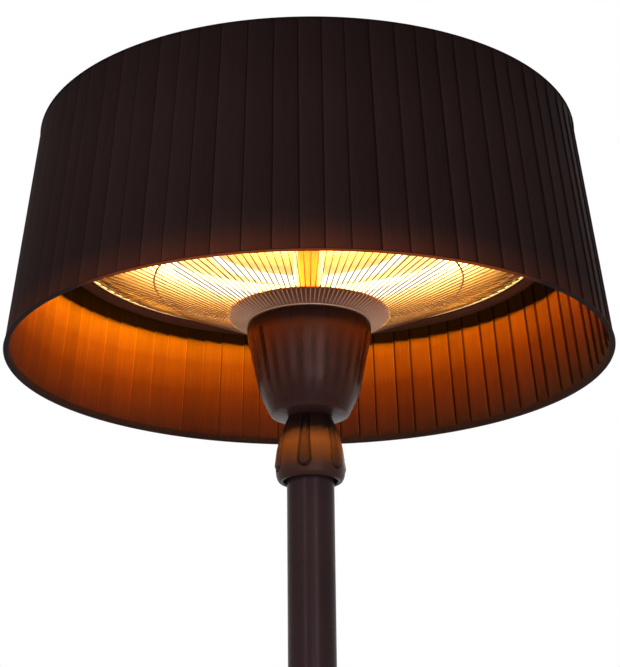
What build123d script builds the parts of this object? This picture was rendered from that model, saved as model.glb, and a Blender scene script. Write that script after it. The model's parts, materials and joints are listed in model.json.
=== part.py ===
"""Electric patio heater tower: weighted base, telescopic pole, ring-lamp head and pleated shade.

Millimetres, +Z up, origin on the floor under the middle of the base. The front is -Y, and an
azimuth is measured from the front towards +X. The head is modelled pushed right down.
"""

import os
from math import atan, cos, degrees, radians, sin, sqrt, tan

from build123d import *

os.makedirs("parts", exist_ok=True)

# ---------------------------------------------------------------- clearances
slip = 0.15  # radial gap between tubes and bushes that are pushed together
running = 0.1  # radial gap of a bearing that turns
seat = 0.05  # gap between pieces that rest on each other over a curve
apart = 0.3  # gap between neighbours that must not rub
sewn = 0.15  # gap between the layers of the shade's hems
hole_room = 0.3  # radial room round a screw's shank

turned_steps = 3  # straight steps that a turned curve is drawn with
hidden_steps = 2  # the same inside a closed shell

# ---------------------------------------------------------------- base
base_d = 480.0
foot_d = 28.0
foot_h = 8.0
foot_count = 6
foot_pcd = 400.0
base_plate_t = 3.0
base_plate_inset = 4.0  # how far the plate and the ballast stay inside the cover's skirt
ballast_h = 24.0
cover_t = 1.5
cover_shoulder = 12.0  # radius of the cover's rounded edge
skirt_drop = 4.0  # how far the cover's skirt hangs below the base plate
cable_slot_w = 24.0
cable_hole_d = 24.0

socket_flange_d = 112.0
socket_flange_t = 4.0
socket_spigot_h = 80.0
socket_spigot_t = 3.0
bolt_count = 4
bolt_pcd = 84.0
bolt_d = 8.0
bolt_head_h = 5.3
bolt_head_flats = 13.0
foot_cover_d = 128.0
foot_cover_h = 30.0
foot_cover_t = 2.0
foot_cover_lip = 7.0
foot_cover_bulge = 2.5

gland_d = 16.0
gland_bore_d = 9.0
gland_flats = 20.0
gland_body_l = 9.0
gland_nut_l = 12.0

# ---------------------------------------------------------------- pole and mast
pole_d = 46.0
pole_wall = 1.5
mast_d = 38.0
mast_wall = 1.5
mast_foot_depth = 400.0  # how far the mast reaches down inside the pole
joint_height = 900.0  # where the two lengths of pole meet
joiner_l = 100.0
joiner_t = 2.5
joiner_screw_inset = 25.0
joiner_screw_d = 5.0
joiner_head_d = 9.0
joiner_head_h = 2.6
joiner_azimuths = (90.0, 180.0)
glide_h = 30.0
bush_h = 40.0
bush_flange_t = 2.0

# ---------------------------------------------------------------- head: rises and drops from the shade's rim
rim_height = 1800.0  # floor to the shade's lower rim
shade_low_d = 600.0
shade_top_d = 546.0
shade_h = 234.0
pleat_count = 80
pleat_depth = 1.9
pleat_riser = 0.14  # share of a pleat that its steep side takes
pleat_azimuth = -1.8
cloth_t = 0.7
binding_t = 0.4
binding_h = 6.0
ring_t = 1.4
low_ring_h = 5.0
top_ring_h = 12.0

collar_top_drop = 57.3
collar_low_drop = 121.8
collar_belly_drop = 107.6
collar_top_r = 21.3
collar_belly_r = 33.9
collar_low_r = 30.8
collar_bulge = 2.6
collar_tongues = 6
collar_azimuth = -10.7
tongue_rise = 0.9
tongue_groove = 0.8  # depth of the groove round each tongue
tongue_groove_w = 1.3
tongue_low_w = 11.0
tongue_top_w = 3.0
tongue_low_drop = 106.0
collet_low_drop = 112.0
collet_top_drop = 60.0
pole_top_drop = 92.0
collet_r = 26.4
collet_finger_r = 22.6
collet_tip_r = 20.6
collet_slits = 6
collet_slit_w = 2.0
collet_shoulder_h = 4.0

cup_top_rise = 38.0
cup_edge_drop = 54.5
cup_neck_drop = 57.0
cup_top_r = 62.0
cup_lip_r = 60.8
cup_lip_h = 15.0
cup_lip_step = 0.7
cup_shoulder_r = 56.4
cup_shoulder_rise = 1.6
cup_belly_r = 49.6
cup_belly_drop = 30.0
cup_edge_r = 38.3
cup_t = 2.5
cup_steps = 4
cup_slot_w = 6.0
cup_slot_floor_r = 49.6
cup_slot_top_rise = 26.0
cup_slots = 3
cup_slot_azimuth = -51.0
cup_screw_head_h = 2.6
cup_screw_d = 3.5
cup_screw_bite = 6.0

bracket_t = 6.0
bracket_low_drop = 30.0
bracket_wall = 5.5
mast_top_rise = 10.0
mast_screw_d = 5.0
mast_screw_azimuths = (90.0, -90.0)

stem_d = 22.0
stem_wall = 2.0
stem_low_rise = 12.0
stem_nut_flats = 28.0
stem_nut_h = 6.0
finial_d = 34.0
finial_h = 12.0

wire_t = 1.6
wire_count = 108
wire_azimuth = 1.2
guard_in_r = 63.0
guard_in_rise = 41.0
guard_out_r = 240.5
guard_out_rise = 120.3
guard_mid_r = 155.3
guard_end_r = 59.5
guard_ring_t = 4.0
guard_mid_ring_t = 2.4
guard_hub_ring_w = 3.0
guard_hub_ring_h = 1.4
hub_plate_r = 80.4
hub_plate_t = 1.2

reflector_r = 237.6
reflector_low_rise = 121.5
reflector_top_rise = 158.0
reflector_flat_r = 196.0
reflector_bulge = 8.0
reflector_t = 0.8
lamp_d = 12.0
outer_lamp_r = 144.0
outer_lamp_rise = 120.0
inner_lamp_r = 102.0
inner_lamp_rise = 127.0
lamp_gap = 30.0  # straight gap between the two ends of a ring lamp
lamp_gap_azimuth = 180.0
lamp_sides = 8
holder_w = 13.0
holder_depth = 18.0
clip_azimuths = (0.0, 75.0, -75.0)
clip_t = 1.0
clip_w = 6.0

pan_r = 252.3
pan_low_rise = 113.2
pan_lip_r = 242.9
pan_lip_rise = 119.0
pan_wall_top_rise = 152.0
pan_shoulder_r = 226.0
pan_top_rise = 180.0
pan_bulge = 5.0
pan_t = 1.2

spider_rise = 210.0
spider_t = 3.0
spider_hub_r = 40.0
arm_w = 20.0
arm_count = 4
arm_azimuth = 45.0
arm_screw_d = 4.0
arm_screw_head_d = 8.0
arm_screw_head_h = 2.4

terminal_size = (30.0, 15.0, 18.0)
terminal_hole_d = 4.0
terminal_ways = 3
terminal_chamfer = 1.0
terminal_azimuth = 0.0
tip_switch_d = 20.0
tip_switch_h = 24.0
tip_switch_azimuth = -150.0
tip_switch_chamfer = 1.5
cutout_d = 16.0
cutout_cap_d = 10.6
cutout_h = 9.0
cutout_r = 62.0
cutout_azimuth = 90.0

switch_azimuth = 129.0
switch_rise = 2.0
switch_lean = 9.0  # the switch faces down as much as the cup's wall there
switch_pad_r = 57.6
switch_w = 27.0
switch_h = 22.0
switch_margin = 1.2  # the pad is this much larger than the bezel all round
bezel_t = 1.6
switch_body_t = 1.2
switch_body_depth = 10.0
rocker_w = 10.0
rocker_r = 8.0
rocker_depth = 4.0  # from the pivot down to the rocker's flat underside
rocker_peak = 4.0
rocker_throw = 16.0
rocker_gap = 1.2  # wall between the two rockers
pivot_depth = 2.4  # from the bezel's face to the pivot
trunnion_d = 2.0
trunnion_l = 0.8


# ---------------------------------------------------------------- heights over the floor
collar_top_z = rim_height - collar_top_drop
collar_low_z = rim_height - collar_low_drop
collar_belly_z = rim_height - collar_belly_drop
tongue_low_z = rim_height - tongue_low_drop
collet_low_z = rim_height - collet_low_drop
collet_top_z = rim_height - collet_top_drop
pole_top_z = rim_height - pole_top_drop
cup_top_z = rim_height + cup_top_rise
cup_edge_z = rim_height - cup_edge_drop
cup_neck_z = rim_height - cup_neck_drop
cup_shoulder_z = rim_height + cup_shoulder_rise
cup_belly_z = rim_height - cup_belly_drop
cup_slot_top_z = rim_height + cup_slot_top_rise
bracket_low_z = rim_height - bracket_low_drop
mast_top_z = rim_height + mast_top_rise
stem_low_z = rim_height + stem_low_rise
guard_in_z = rim_height + guard_in_rise
guard_out_z = rim_height + guard_out_rise
reflector_low_z = rim_height + reflector_low_rise
reflector_top_z = rim_height + reflector_top_rise
outer_lamp_z = rim_height + outer_lamp_rise
inner_lamp_z = rim_height + inner_lamp_rise
pan_low_z = rim_height + pan_low_rise
pan_lip_z = rim_height + pan_lip_rise
pan_wall_top_z = rim_height + pan_wall_top_rise
pan_top_z = rim_height + pan_top_rise
spider_z = rim_height + spider_rise
switch_z = rim_height + switch_rise

# ---------------------------------------------------------------- derived sizes
foot_r = foot_pcd / 2
plate_r = base_d / 2 - cover_t - base_plate_inset
plate_top_z = foot_h + base_plate_t
ballast_top_z = plate_top_z + ballast_h
cover_top_z = ballast_top_z + cover_t
flange_top_z = cover_top_z + socket_flange_t
pole_r = pole_d / 2
pole_bore_r = pole_r - pole_wall
mast_r = mast_d / 2
mast_foot_z = pole_top_z - mast_foot_depth
head_h = rim_height + shade_h
shade_slope = (shade_low_d - shade_top_d) / 2 / shade_h
guard_slope = (guard_out_z - guard_in_z) / (guard_out_r - guard_in_r)
guard_angle = degrees(atan(guard_slope))
wire_half_h = wire_t / 2 * sqrt(1 + guard_slope**2)
cup_lip_z = cup_top_z - cup_lip_h
cup_inner_r = cup_lip_r - cup_lip_step - cup_t
stem_r = stem_d / 2
stem_hole_r = stem_r + hole_room
plate_under_z = guard_in_z + wire_half_h + seat + guard_slope * (cup_top_r - guard_in_r)
bracket_disc_z = cup_slot_top_z + cup_t
screw_r = cup_slot_floor_r + cup_slot_w / 2
reflector_under_z = reflector_top_z - reflector_t
spider_top_z = spider_z + spider_t


def around(azimuth, radius, height=0.0):
    """The point at an azimuth from the front, a radius from the axis and a height."""
    return (radius * sin(radians(azimuth)), -radius * cos(radians(azimuth)), height)


def facing(azimuth, radius, height, lean=0.0):
    """A plane that faces outward at an azimuth, leaning down by lean, with its x to the right."""
    across = (cos(radians(azimuth)), sin(radians(azimuth)), 0.0)
    outward = (
        sin(radians(azimuth)) * cos(radians(lean)),
        -cos(radians(azimuth)) * cos(radians(lean)),
        -sin(radians(lean)),
    )
    return Plane(origin=around(azimuth, radius, height), x_dir=across, z_dir=outward)


def side_view(azimuth):
    """The upright plane through the axis at an azimuth: x is the radius and y the height."""
    outward = around(azimuth, 1.0)
    across = (cos(radians(azimuth)), sin(radians(azimuth)), 0.0)
    return Plane(origin=(0, 0, 0), x_dir=outward, z_dir=tuple(-c for c in across))


def guard_z(radius):
    """The height of the guard's wires at a radius."""
    return guard_in_z + (radius - guard_in_r) * guard_slope


def shade_r(height):
    """The outside radius of the shade at a height."""
    return shade_low_d / 2 - (height - rim_height) * shade_slope


def points_on(curve, steps):
    """Points along a curve, so that a turned form keeps to a few straight steps."""
    return [curve @ (step / steps) for step in range(steps + 1)]


def cup_side(inset=0.0):
    """Points down the cup's side from its lip to its lower edge, moved in by inset."""
    return (
        (cup_lip_r - cup_lip_step - inset, cup_lip_z - cup_lip_step),
        (cup_shoulder_r - inset, cup_shoulder_z),
        (cup_belly_r - inset, cup_belly_z),
        (cup_edge_r - inset, cup_edge_z + inset),
    )


# ================================================================ stand
with BuildPart() as rubber_feet:
    with BuildSketch():
        with PolarLocations(foot_r, foot_count):
            Circle(foot_d / 2)
    extrude(amount=foot_h)
rubber_feet.part.label = "rubber_feet"
export_step(rubber_feet.part, "parts/rubber_feet.step")

with BuildPart() as base_plate:
    with BuildSketch(Plane.XY.offset(foot_h)):
        Circle(plate_r)
        Circle(cable_hole_d / 2, mode=Mode.SUBTRACT)
        with PolarLocations(bolt_pcd / 2, bolt_count):
            Circle(bolt_d / 2 + seat, mode=Mode.SUBTRACT)
    extrude(amount=base_plate_t)
base_plate.part.label = "base_plate"
export_step(base_plate.part, "parts/base_plate.step")

with BuildPart() as base_ballast:
    with BuildSketch(Plane.XZ):
        with BuildLine():
            Polyline(
                (cable_hole_d / 2, plate_top_z),
                (plate_r - cover_shoulder / 2, plate_top_z),
                (plate_r - cover_shoulder / 2, ballast_top_z - cover_shoulder / 2),
                (plate_r - cover_shoulder, ballast_top_z),
                (cable_hole_d / 2, ballast_top_z),
                close=True,
            )
        make_face()
    revolve(axis=Axis.Z)
    with BuildSketch(Plane.XY.offset(plate_top_z)):
        with Locations((0, plate_r / 2)):
            Rectangle(cable_slot_w, plate_r)
    extrude(amount=cable_slot_w / 2, mode=Mode.SUBTRACT)
    with BuildSketch(Plane.XY.offset(plate_top_z)):
        with PolarLocations(bolt_pcd / 2, bolt_count):
            Circle(bolt_d / 2 + hole_room)
    extrude(amount=ballast_h, mode=Mode.SUBTRACT)
base_ballast.part.label = "base_ballast"
export_step(base_ballast.part, "parts/base_ballast.step")

skirt_low_z = foot_h - skirt_drop
gland_z = skirt_low_z + gland_flats / 2 + apart
with BuildPart() as base_cover:
    with BuildSketch(Plane.XZ):
        with BuildLine():
            shoulder = RadiusArc(
                (base_d / 2, cover_top_z - cover_shoulder),
                (base_d / 2 - cover_shoulder, cover_top_z),
                -cover_shoulder,
                mode=Mode.PRIVATE,
            )
            Polyline(
                (base_d / 2, skirt_low_z),
                *points_on(shoulder, turned_steps),
                (0, cover_top_z),
                (0, skirt_low_z),
                close=True,
            )
        make_face()
    revolve(axis=Axis.Z)
    offset(amount=-cover_t, openings=base_cover.faces().sort_by(Axis.Z)[0], kind=Kind.INTERSECTION)
    with BuildSketch(Plane.XY.offset(ballast_top_z)):
        Circle(cable_hole_d / 2)
        with PolarLocations(bolt_pcd / 2, bolt_count):
            Circle(bolt_d / 2 + hole_room)
    extrude(amount=cover_t, mode=Mode.SUBTRACT)
    with BuildSketch(Plane.XZ.offset(-base_d / 2 - cover_t)):
        with Locations((0, gland_z)):
            Circle(gland_d / 2 + seat)
    extrude(amount=base_plate_inset + 2 * cover_t, mode=Mode.SUBTRACT)
base_cover.part.label = "base_cover"
export_step(base_cover.part, "parts/base_cover.step")

with BuildPart() as pole_socket:
    with BuildSketch(Plane.XY.offset(cover_top_z)):
        Circle(socket_flange_d / 2)
        with PolarLocations(bolt_pcd / 2, bolt_count):
            Circle(bolt_d / 2 + hole_room, mode=Mode.SUBTRACT)
    extrude(amount=socket_flange_t)
    with BuildSketch(Plane.XY.offset(flange_top_z)):
        Circle(pole_bore_r - slip)
    extrude(amount=socket_spigot_h)
    chamfer(pole_socket.edges().group_by(Axis.Z)[-1], length=socket_spigot_t / 3)
    with BuildSketch(Plane.XY.offset(cover_top_z)):
        Circle(pole_bore_r - slip - socket_spigot_t)
    extrude(amount=socket_flange_t + socket_spigot_h, mode=Mode.SUBTRACT)
pole_socket.part.label = "pole_socket"
export_step(pole_socket.part, "parts/pole_socket.step")

with BuildPart() as socket_bolts:
    with BuildSketch(Plane.XY.offset(foot_h)):
        with PolarLocations(bolt_pcd / 2, bolt_count):
            Circle(bolt_d / 2)
    extrude(amount=flange_top_z - foot_h)
    with BuildSketch(Plane.XY.offset(flange_top_z)):
        with PolarLocations(bolt_pcd / 2, bolt_count):
            RegularPolygon(bolt_head_flats / 2, 6, major_radius=False)
    extrude(amount=bolt_head_h)
socket_bolts.part.label = "socket_bolts"
export_step(socket_bolts.part, "parts/socket_bolts.step")

foot_cover_neck_r = pole_r + apart
with BuildPart() as foot_cover:
    with BuildSketch(Plane.XZ):
        with BuildLine():
            dome = SagittaArc(
                (foot_cover_d / 2, cover_top_z + foot_cover_lip),
                (foot_cover_neck_r + foot_cover_t, cover_top_z + foot_cover_h),
                -foot_cover_bulge,
                mode=Mode.PRIVATE,
            )
            inside = SagittaArc(
                (foot_cover_neck_r, cover_top_z + foot_cover_h - foot_cover_t),
                (foot_cover_d / 2 - foot_cover_t, cover_top_z + foot_cover_lip - foot_cover_t / 2),
                foot_cover_bulge,
                mode=Mode.PRIVATE,
            )
            Polyline(
                (foot_cover_d / 2, cover_top_z),
                *points_on(dome, turned_steps),
                (foot_cover_neck_r, cover_top_z + foot_cover_h),
                *points_on(inside, hidden_steps),
                (foot_cover_d / 2 - foot_cover_t, cover_top_z),
                close=True,
            )
        make_face()
    revolve(axis=Axis.Z)
foot_cover.part.label = "foot_cover"
export_step(foot_cover.part, "parts/foot_cover.step")

gland_face = Plane(origin=(0, base_d / 2, gland_z), x_dir=(1, 0, 0), z_dir=(0, 1, 0))
with BuildPart() as gland_body:
    with BuildSketch(gland_face):
        RegularPolygon(gland_flats / 2, 6, major_radius=False)
    extrude(amount=gland_body_l)
    with BuildSketch(gland_face):
        Circle(gland_d / 2)
    extrude(amount=-cover_t - base_plate_inset)
    with BuildSketch(gland_face.offset(-cover_t - base_plate_inset)):
        Circle(gland_bore_d / 2)
    extrude(amount=cover_t + base_plate_inset + gland_body_l, mode=Mode.SUBTRACT)
gland_body.part.label = "gland_body"
export_step(gland_body.part, "parts/gland_body.step")

with BuildPart() as gland_nut:
    with BuildSketch(gland_face.offset(gland_body_l)):
        RegularPolygon(gland_flats / 2, 6, major_radius=False)
    extrude(amount=gland_nut_l)
    chamfer(gland_nut.faces().sort_by(Axis.Y)[-1].edges(), length=gland_nut_l / 4)
    with BuildSketch(gland_face.offset(gland_body_l)):
        Circle(gland_bore_d / 2)
    extrude(amount=gland_nut_l, mode=Mode.SUBTRACT)
gland_nut.part.label = "gland_nut"
export_step(gland_nut.part, "parts/gland_nut.step")

lower_screw_z = joint_height - joiner_screw_inset
upper_screw_z = joint_height + joiner_screw_inset
screw_planes = [
    facing(azimuth, 0.0, height) for height in (lower_screw_z, upper_screw_z) for azimuth in joiner_azimuths
]


def bore_for_joiner_screws(radius, height_range):
    """Drills the joiner's screw holes that lie in a tube's height range."""
    for plane in screw_planes:
        if height_range[0] < plane.origin.Z < height_range[1]:
            with BuildSketch(plane) as hole:
                Circle(joiner_screw_d / 2 + seat)
            extrude(hole.sketch, amount=radius, mode=Mode.SUBTRACT)


with BuildPart() as lower_pole:
    with BuildSketch(Plane.XY.offset(flange_top_z)):
        Circle(pole_r)
        Circle(pole_bore_r, mode=Mode.SUBTRACT)
    extrude(amount=joint_height - flange_top_z)
    bore_for_joiner_screws(pole_d, (flange_top_z, joint_height))
lower_pole.part.label = "lower_pole"
export_step(lower_pole.part, "parts/lower_pole.step")

with BuildPart() as upper_pole:
    with BuildSketch(Plane.XY.offset(joint_height)):
        Circle(pole_r)
        Circle(pole_bore_r, mode=Mode.SUBTRACT)
    extrude(amount=pole_top_z - joint_height)
    bore_for_joiner_screws(pole_d, (joint_height, pole_top_z))
upper_pole.part.label = "upper_pole"
export_step(upper_pole.part, "parts/upper_pole.step")

with BuildPart() as pole_joiner:
    with BuildSketch(Plane.XY.offset(joint_height - joiner_l / 2)):
        Circle(pole_bore_r - slip)
        Circle(pole_bore_r - slip - joiner_t, mode=Mode.SUBTRACT)
    extrude(amount=joiner_l)
    bore_for_joiner_screws(pole_d, (joint_height - joiner_l, joint_height + joiner_l))
pole_joiner.part.label = "pole_joiner"
export_step(pole_joiner.part, "parts/pole_joiner.step")

with BuildPart() as joiner_screws:
    for screw_plane in screw_planes:
        with BuildSketch(screw_plane.offset(pole_bore_r - slip - joiner_t)):
            Circle(joiner_screw_d / 2)
        extrude(amount=pole_r - pole_bore_r + slip + joiner_t)
        with BuildSketch(screw_plane.offset(pole_r)):
            Circle(joiner_head_d / 2)
        extrude(amount=joiner_head_h)
joiner_screws.part.label = "joiner_screws"
export_step(joiner_screws.part, "parts/joiner_screws.step")

with BuildPart() as pole_bush:
    with BuildSketch(Plane.XY.offset(pole_top_z - bush_h)):
        Circle(pole_bore_r - slip)
    extrude(amount=bush_h)
    with BuildSketch(Plane.XY.offset(pole_top_z)):
        Circle(pole_r)
    extrude(amount=bush_flange_t)
    with BuildSketch(Plane.XY.offset(pole_top_z - bush_h)):
        Circle(mast_r + running)
    extrude(amount=bush_h + bush_flange_t, mode=Mode.SUBTRACT)
pole_bush.part.label = "pole_bush"
export_step(pole_bush.part, "parts/pole_bush.step")

bush_top_z = pole_top_z + bush_flange_t
with BuildPart() as collet:
    with BuildSketch(Plane.XZ):
        with BuildLine():
            Polyline(
                (pole_r + slip, collet_low_z),
                (collet_r, collet_low_z),
                (collet_r, bush_top_z + collet_shoulder_h),
                (collet_finger_r, bush_top_z + collet_shoulder_h),
                (collet_tip_r, collet_top_z),
                (mast_r + slip, collet_top_z),
                (mast_r + slip, bush_top_z),
                (pole_r + slip, bush_top_z),
                close=True,
            )
        make_face()
    revolve(axis=Axis.Z)
    with BuildSketch(Plane.XY.offset(bush_top_z + 2 * collet_shoulder_h)):
        with PolarLocations(collet_finger_r, collet_slits, start_angle=360 / collet_slits / 2):
            Rectangle(collet_finger_r, collet_slit_w)
    extrude(amount=collet_top_z - bush_top_z, mode=Mode.SUBTRACT)
collet.part.label = "collet"
export_step(collet.part, "parts/collet.step")

# ================================================================ twist-lock collar
def bulge_points(rise):
    """The collar's bulging side from its top down to its belly, lifted by a rise that halves upward."""
    side = SagittaArc(
        (collar_top_r + rise / 2, collar_top_z),
        (collar_belly_r + rise, collar_belly_z),
        collar_bulge,
        mode=Mode.PRIVATE,
    )
    return points_on(side, turned_steps)


def tongue_outline(grow):
    """A tongue seen from the front: narrow at the top, with a round lower end, grown all round."""
    with BuildLine() as outline:
        tip = CenterArc((0, tongue_low_z + tongue_low_w / 2), tongue_low_w / 2 + grow, 180, 180)
        Polyline(
            tip @ 1,
            (tongue_top_w / 2 + grow, collar_top_z),
            (-tongue_top_w / 2 - grow, collar_top_z),
            tip @ 0,
        )
    return outline.line


with BuildPart() as tongue:
    with BuildSketch(Plane.XZ):
        with BuildLine():
            Polyline(
                *bulge_points(tongue_rise),
                (collet_r + tongue_groove, collar_belly_z),
                (collar_top_r - tongue_groove, collar_top_z),
                close=True,
            )
        make_face()
    revolve(axis=Axis.Z)
    with BuildSketch(facing(collar_azimuth, 0.0, 0.0)):
        make_face(tongue_outline(0.0).edges())
    extrude(amount=collar_belly_r + tongue_low_w, mode=Mode.INTERSECT)

with BuildPart() as groove:
    with BuildSketch(Plane.XZ):
        with BuildLine():
            Polyline(
                *bulge_points(-tongue_groove),
                (collar_belly_r + tongue_low_w, collar_belly_z),
                (collar_belly_r + tongue_low_w, collar_top_z),
                close=True,
            )
        make_face()
    revolve(axis=Axis.Z)
    with BuildSketch(facing(collar_azimuth, 0.0, 0.0)):
        make_face(tongue_outline(tongue_groove_w).edges())
    extrude(amount=collar_belly_r + tongue_low_w, mode=Mode.INTERSECT)

with BuildPart() as lock_collar:
    with BuildSketch(Plane.XZ):
        with BuildLine():
            Polyline(
                *bulge_points(0.0),
                (collar_low_r, collar_low_z),
                (0, collar_low_z),
                (0, collar_top_z),
                close=True,
            )
        make_face()
    revolve(axis=Axis.Z)
    with PolarLocations(0, collar_tongues):
        add(groove.part, mode=Mode.SUBTRACT)
    with PolarLocations(0, collar_tongues):
        add(tongue.part)
    with BuildSketch(Plane.XZ):
        with BuildLine():
            Polyline(
                (0, collar_low_z),
                (collet_r + running, collar_low_z),
                (collet_r + running, bush_top_z + collet_shoulder_h + running),
                (collet_finger_r + apart, bush_top_z + collet_shoulder_h + running),
                (collet_tip_r + apart, collet_top_z + apart),
                (mast_r + apart, collet_top_z + apart),
                (mast_r + apart, collar_top_z),
                (0, collar_top_z),
                close=True,
            )
        make_face()
    revolve(axis=Axis.Z, mode=Mode.SUBTRACT)
lock_collar.part.label = "lock_collar"
export_step(lock_collar.part, "parts/lock_collar.step")

# ================================================================ mast and its head
with BuildPart() as inner_mast:
    with BuildSketch(Plane.XY.offset(mast_foot_z)):
        Circle(mast_r)
        Circle(mast_r - mast_wall, mode=Mode.SUBTRACT)
    extrude(amount=mast_top_z - mast_foot_z)
inner_mast.part.label = "inner_mast"
export_step(inner_mast.part, "parts/inner_mast.step")

with BuildPart() as mast_glide:
    with BuildSketch(Plane.XY.offset(mast_foot_z - bush_flange_t)):
        Circle(pole_bore_r - slip)
        Circle(mast_r - mast_wall, mode=Mode.SUBTRACT)
    extrude(amount=glide_h)
    with BuildSketch(Plane.XY.offset(mast_foot_z)):
        Circle(mast_r + seat)
    extrude(amount=glide_h, mode=Mode.SUBTRACT)
mast_glide.part.label = "mast_glide"
export_step(mast_glide.part, "parts/mast_glide.step")

switch_face = facing(switch_azimuth, switch_pad_r, switch_z, switch_lean)
with BuildPart() as cup_hollow:
    with BuildSketch(Plane.XZ):
        with BuildLine():
            hollow_side = Spline(*cup_side(cup_t), mode=Mode.PRIVATE)
            Polyline(
                *points_on(hollow_side, hidden_steps),
                (0, cup_edge_z + cup_t),
                (0, cup_top_z),
                (cup_inner_r, cup_top_z),
                close=True,
            )
        make_face()
    revolve(axis=Axis.Z)
    with BuildSketch(Plane.XY.offset(cup_edge_z)):
        with PolarLocations(screw_r, cup_slots, start_angle=cup_slot_azimuth - 90):
            Circle(cup_slot_w / 2 + cup_t)
    extrude(until=Until.LAST, mode=Mode.SUBTRACT)
    with BuildSketch(Plane.XY.offset(bracket_disc_z)):
        Circle(cup_inner_r)
    extrude(amount=cup_top_z - bracket_disc_z)

with BuildPart() as cup_housing:
    with BuildSketch(Plane.XZ):
        with BuildLine():
            side = Spline(*cup_side(), mode=Mode.PRIVATE)
            Polyline(
                *points_on(side, cup_steps),
                (collar_top_r, cup_neck_z),
                (mast_r + seat, cup_neck_z),
                (mast_r + seat, cup_top_z),
                (cup_top_r, cup_top_z),
                (cup_lip_r, cup_lip_z),
                close=True,
            )
        make_face()
    revolve(axis=Axis.Z)
    with BuildSketch(switch_face.offset(-cup_t)):
        Rectangle(switch_w + 2 * switch_margin, switch_h + 2 * switch_margin)
    extrude(amount=cup_t)
    add(cup_hollow.part, mode=Mode.SUBTRACT)
    for slot in range(cup_slots):
        slot_azimuth = cup_slot_azimuth + slot * 360 / cup_slots
        slot_h = cup_slot_top_z - cup_edge_z + cup_slot_w
        with BuildSketch(facing(slot_azimuth, screw_r, cup_slot_top_z - slot_h / 2)):
            SlotOverall(slot_h, cup_slot_w, rotation=90)
        extrude(amount=cup_top_r - cup_slot_floor_r, mode=Mode.SUBTRACT)
        with BuildSketch(Plane.XY.offset(cup_slot_top_z - cup_slot_w / 2)):
            with Locations(around(slot_azimuth, screw_r)):
                Circle(cup_slot_w / 2)
        extrude(amount=-slot_h, mode=Mode.SUBTRACT)
        with BuildSketch(Plane.XY.offset(cup_slot_top_z - cup_slot_w)):
            with Locations(around(slot_azimuth, screw_r)):
                Circle(cup_screw_d / 2 + seat)
        extrude(amount=2 * cup_slot_w, mode=Mode.SUBTRACT)
    with BuildSketch(switch_face.offset(-switch_body_depth)):
        Rectangle(switch_w - 2 * switch_margin + 2 * seat, switch_h - 2 * switch_margin + 2 * seat)
    extrude(amount=2 * switch_body_depth, mode=Mode.SUBTRACT)
cup_housing.part.label = "cup_housing"
export_step(cup_housing.part, "parts/cup_housing.step")

screw_seat_z = cup_slot_top_z - cup_slot_w / 2
with BuildPart() as cup_screws:
    with BuildSketch(Plane.XY.offset(screw_seat_z - cup_screw_head_h)):
        with PolarLocations(screw_r, cup_slots, start_angle=cup_slot_azimuth - 90):
            Circle(cup_slot_w / 2 - apart)
    extrude(amount=cup_screw_head_h)
    with BuildSketch(Plane.XY.offset(screw_seat_z)):
        with PolarLocations(screw_r, cup_slots, start_angle=cup_slot_azimuth - 90):
            Circle(cup_screw_d / 2)
    extrude(amount=bracket_disc_z - screw_seat_z + cup_screw_bite)
cup_screws.part.label = "cup_screws"
export_step(cup_screws.part, "parts/cup_screws.step")

bracket_boss_r = mast_r + slip + bracket_wall
with BuildPart() as hub_bracket:
    with BuildSketch(Plane.XY.offset(bracket_disc_z)):
        Circle(cup_inner_r - apart)
    extrude(amount=bracket_t)
    with BuildSketch(Plane.XY.offset(bracket_low_z)):
        Circle(bracket_boss_r)
    extrude(amount=plate_under_z - bracket_low_z)
    with BuildSketch(Plane.XY.offset(bracket_low_z)):
        Circle(mast_r + slip)
    extrude(amount=bracket_disc_z - bracket_low_z, mode=Mode.SUBTRACT)
    with BuildSketch(Plane.XY.offset(bracket_low_z)):
        Circle(stem_hole_r)
        with PolarLocations(screw_r, cup_slots, start_angle=cup_slot_azimuth - 90):
            Circle(cup_screw_d / 2 + seat)
    extrude(amount=plate_under_z - bracket_low_z, mode=Mode.SUBTRACT)
    for mast_screw_azimuth in mast_screw_azimuths:
        with BuildSketch(facing(mast_screw_azimuth, mast_r, (bracket_low_z + mast_top_z) / 2)):
            Circle(mast_screw_d / 2 + seat)
        extrude(amount=bracket_boss_r, mode=Mode.SUBTRACT)
hub_bracket.part.label = "hub_bracket"
export_step(hub_bracket.part, "parts/hub_bracket.step")

with BuildPart() as mast_screws:
    for mast_screw_azimuth in mast_screw_azimuths:
        with BuildSketch(facing(mast_screw_azimuth, mast_r + seat, (bracket_low_z + mast_top_z) / 2)):
            Circle(mast_screw_d / 2)
        extrude(amount=bracket_wall)
mast_screws.part.label = "mast_screws"
export_step(mast_screws.part, "parts/mast_screws.step")

with BuildPart() as terminal_block:
    terminal_r = bracket_boss_r + terminal_size[1] / 2 + 2 * apart
    with BuildSketch(Plane.XY.offset(bracket_disc_z - seat)):
        with Locations(around(terminal_azimuth, terminal_r)):
            Rectangle(terminal_size[0], terminal_size[1])
    extrude(amount=-terminal_size[2])
    chamfer(terminal_block.edges().filter_by(Axis.Z), length=terminal_chamfer)
    with BuildSketch(Plane.XZ.offset(terminal_r + terminal_size[1])):
        with Locations((0, bracket_disc_z - terminal_size[2] / 2)):
            with GridLocations(terminal_size[0] / terminal_ways, terminal_hole_d, terminal_ways, 1):
                Circle(terminal_hole_d / 2)
    extrude(amount=-2 * terminal_size[1], mode=Mode.SUBTRACT)
terminal_block.part.label = "terminal_block"
export_step(terminal_block.part, "parts/terminal_block.step")

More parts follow.
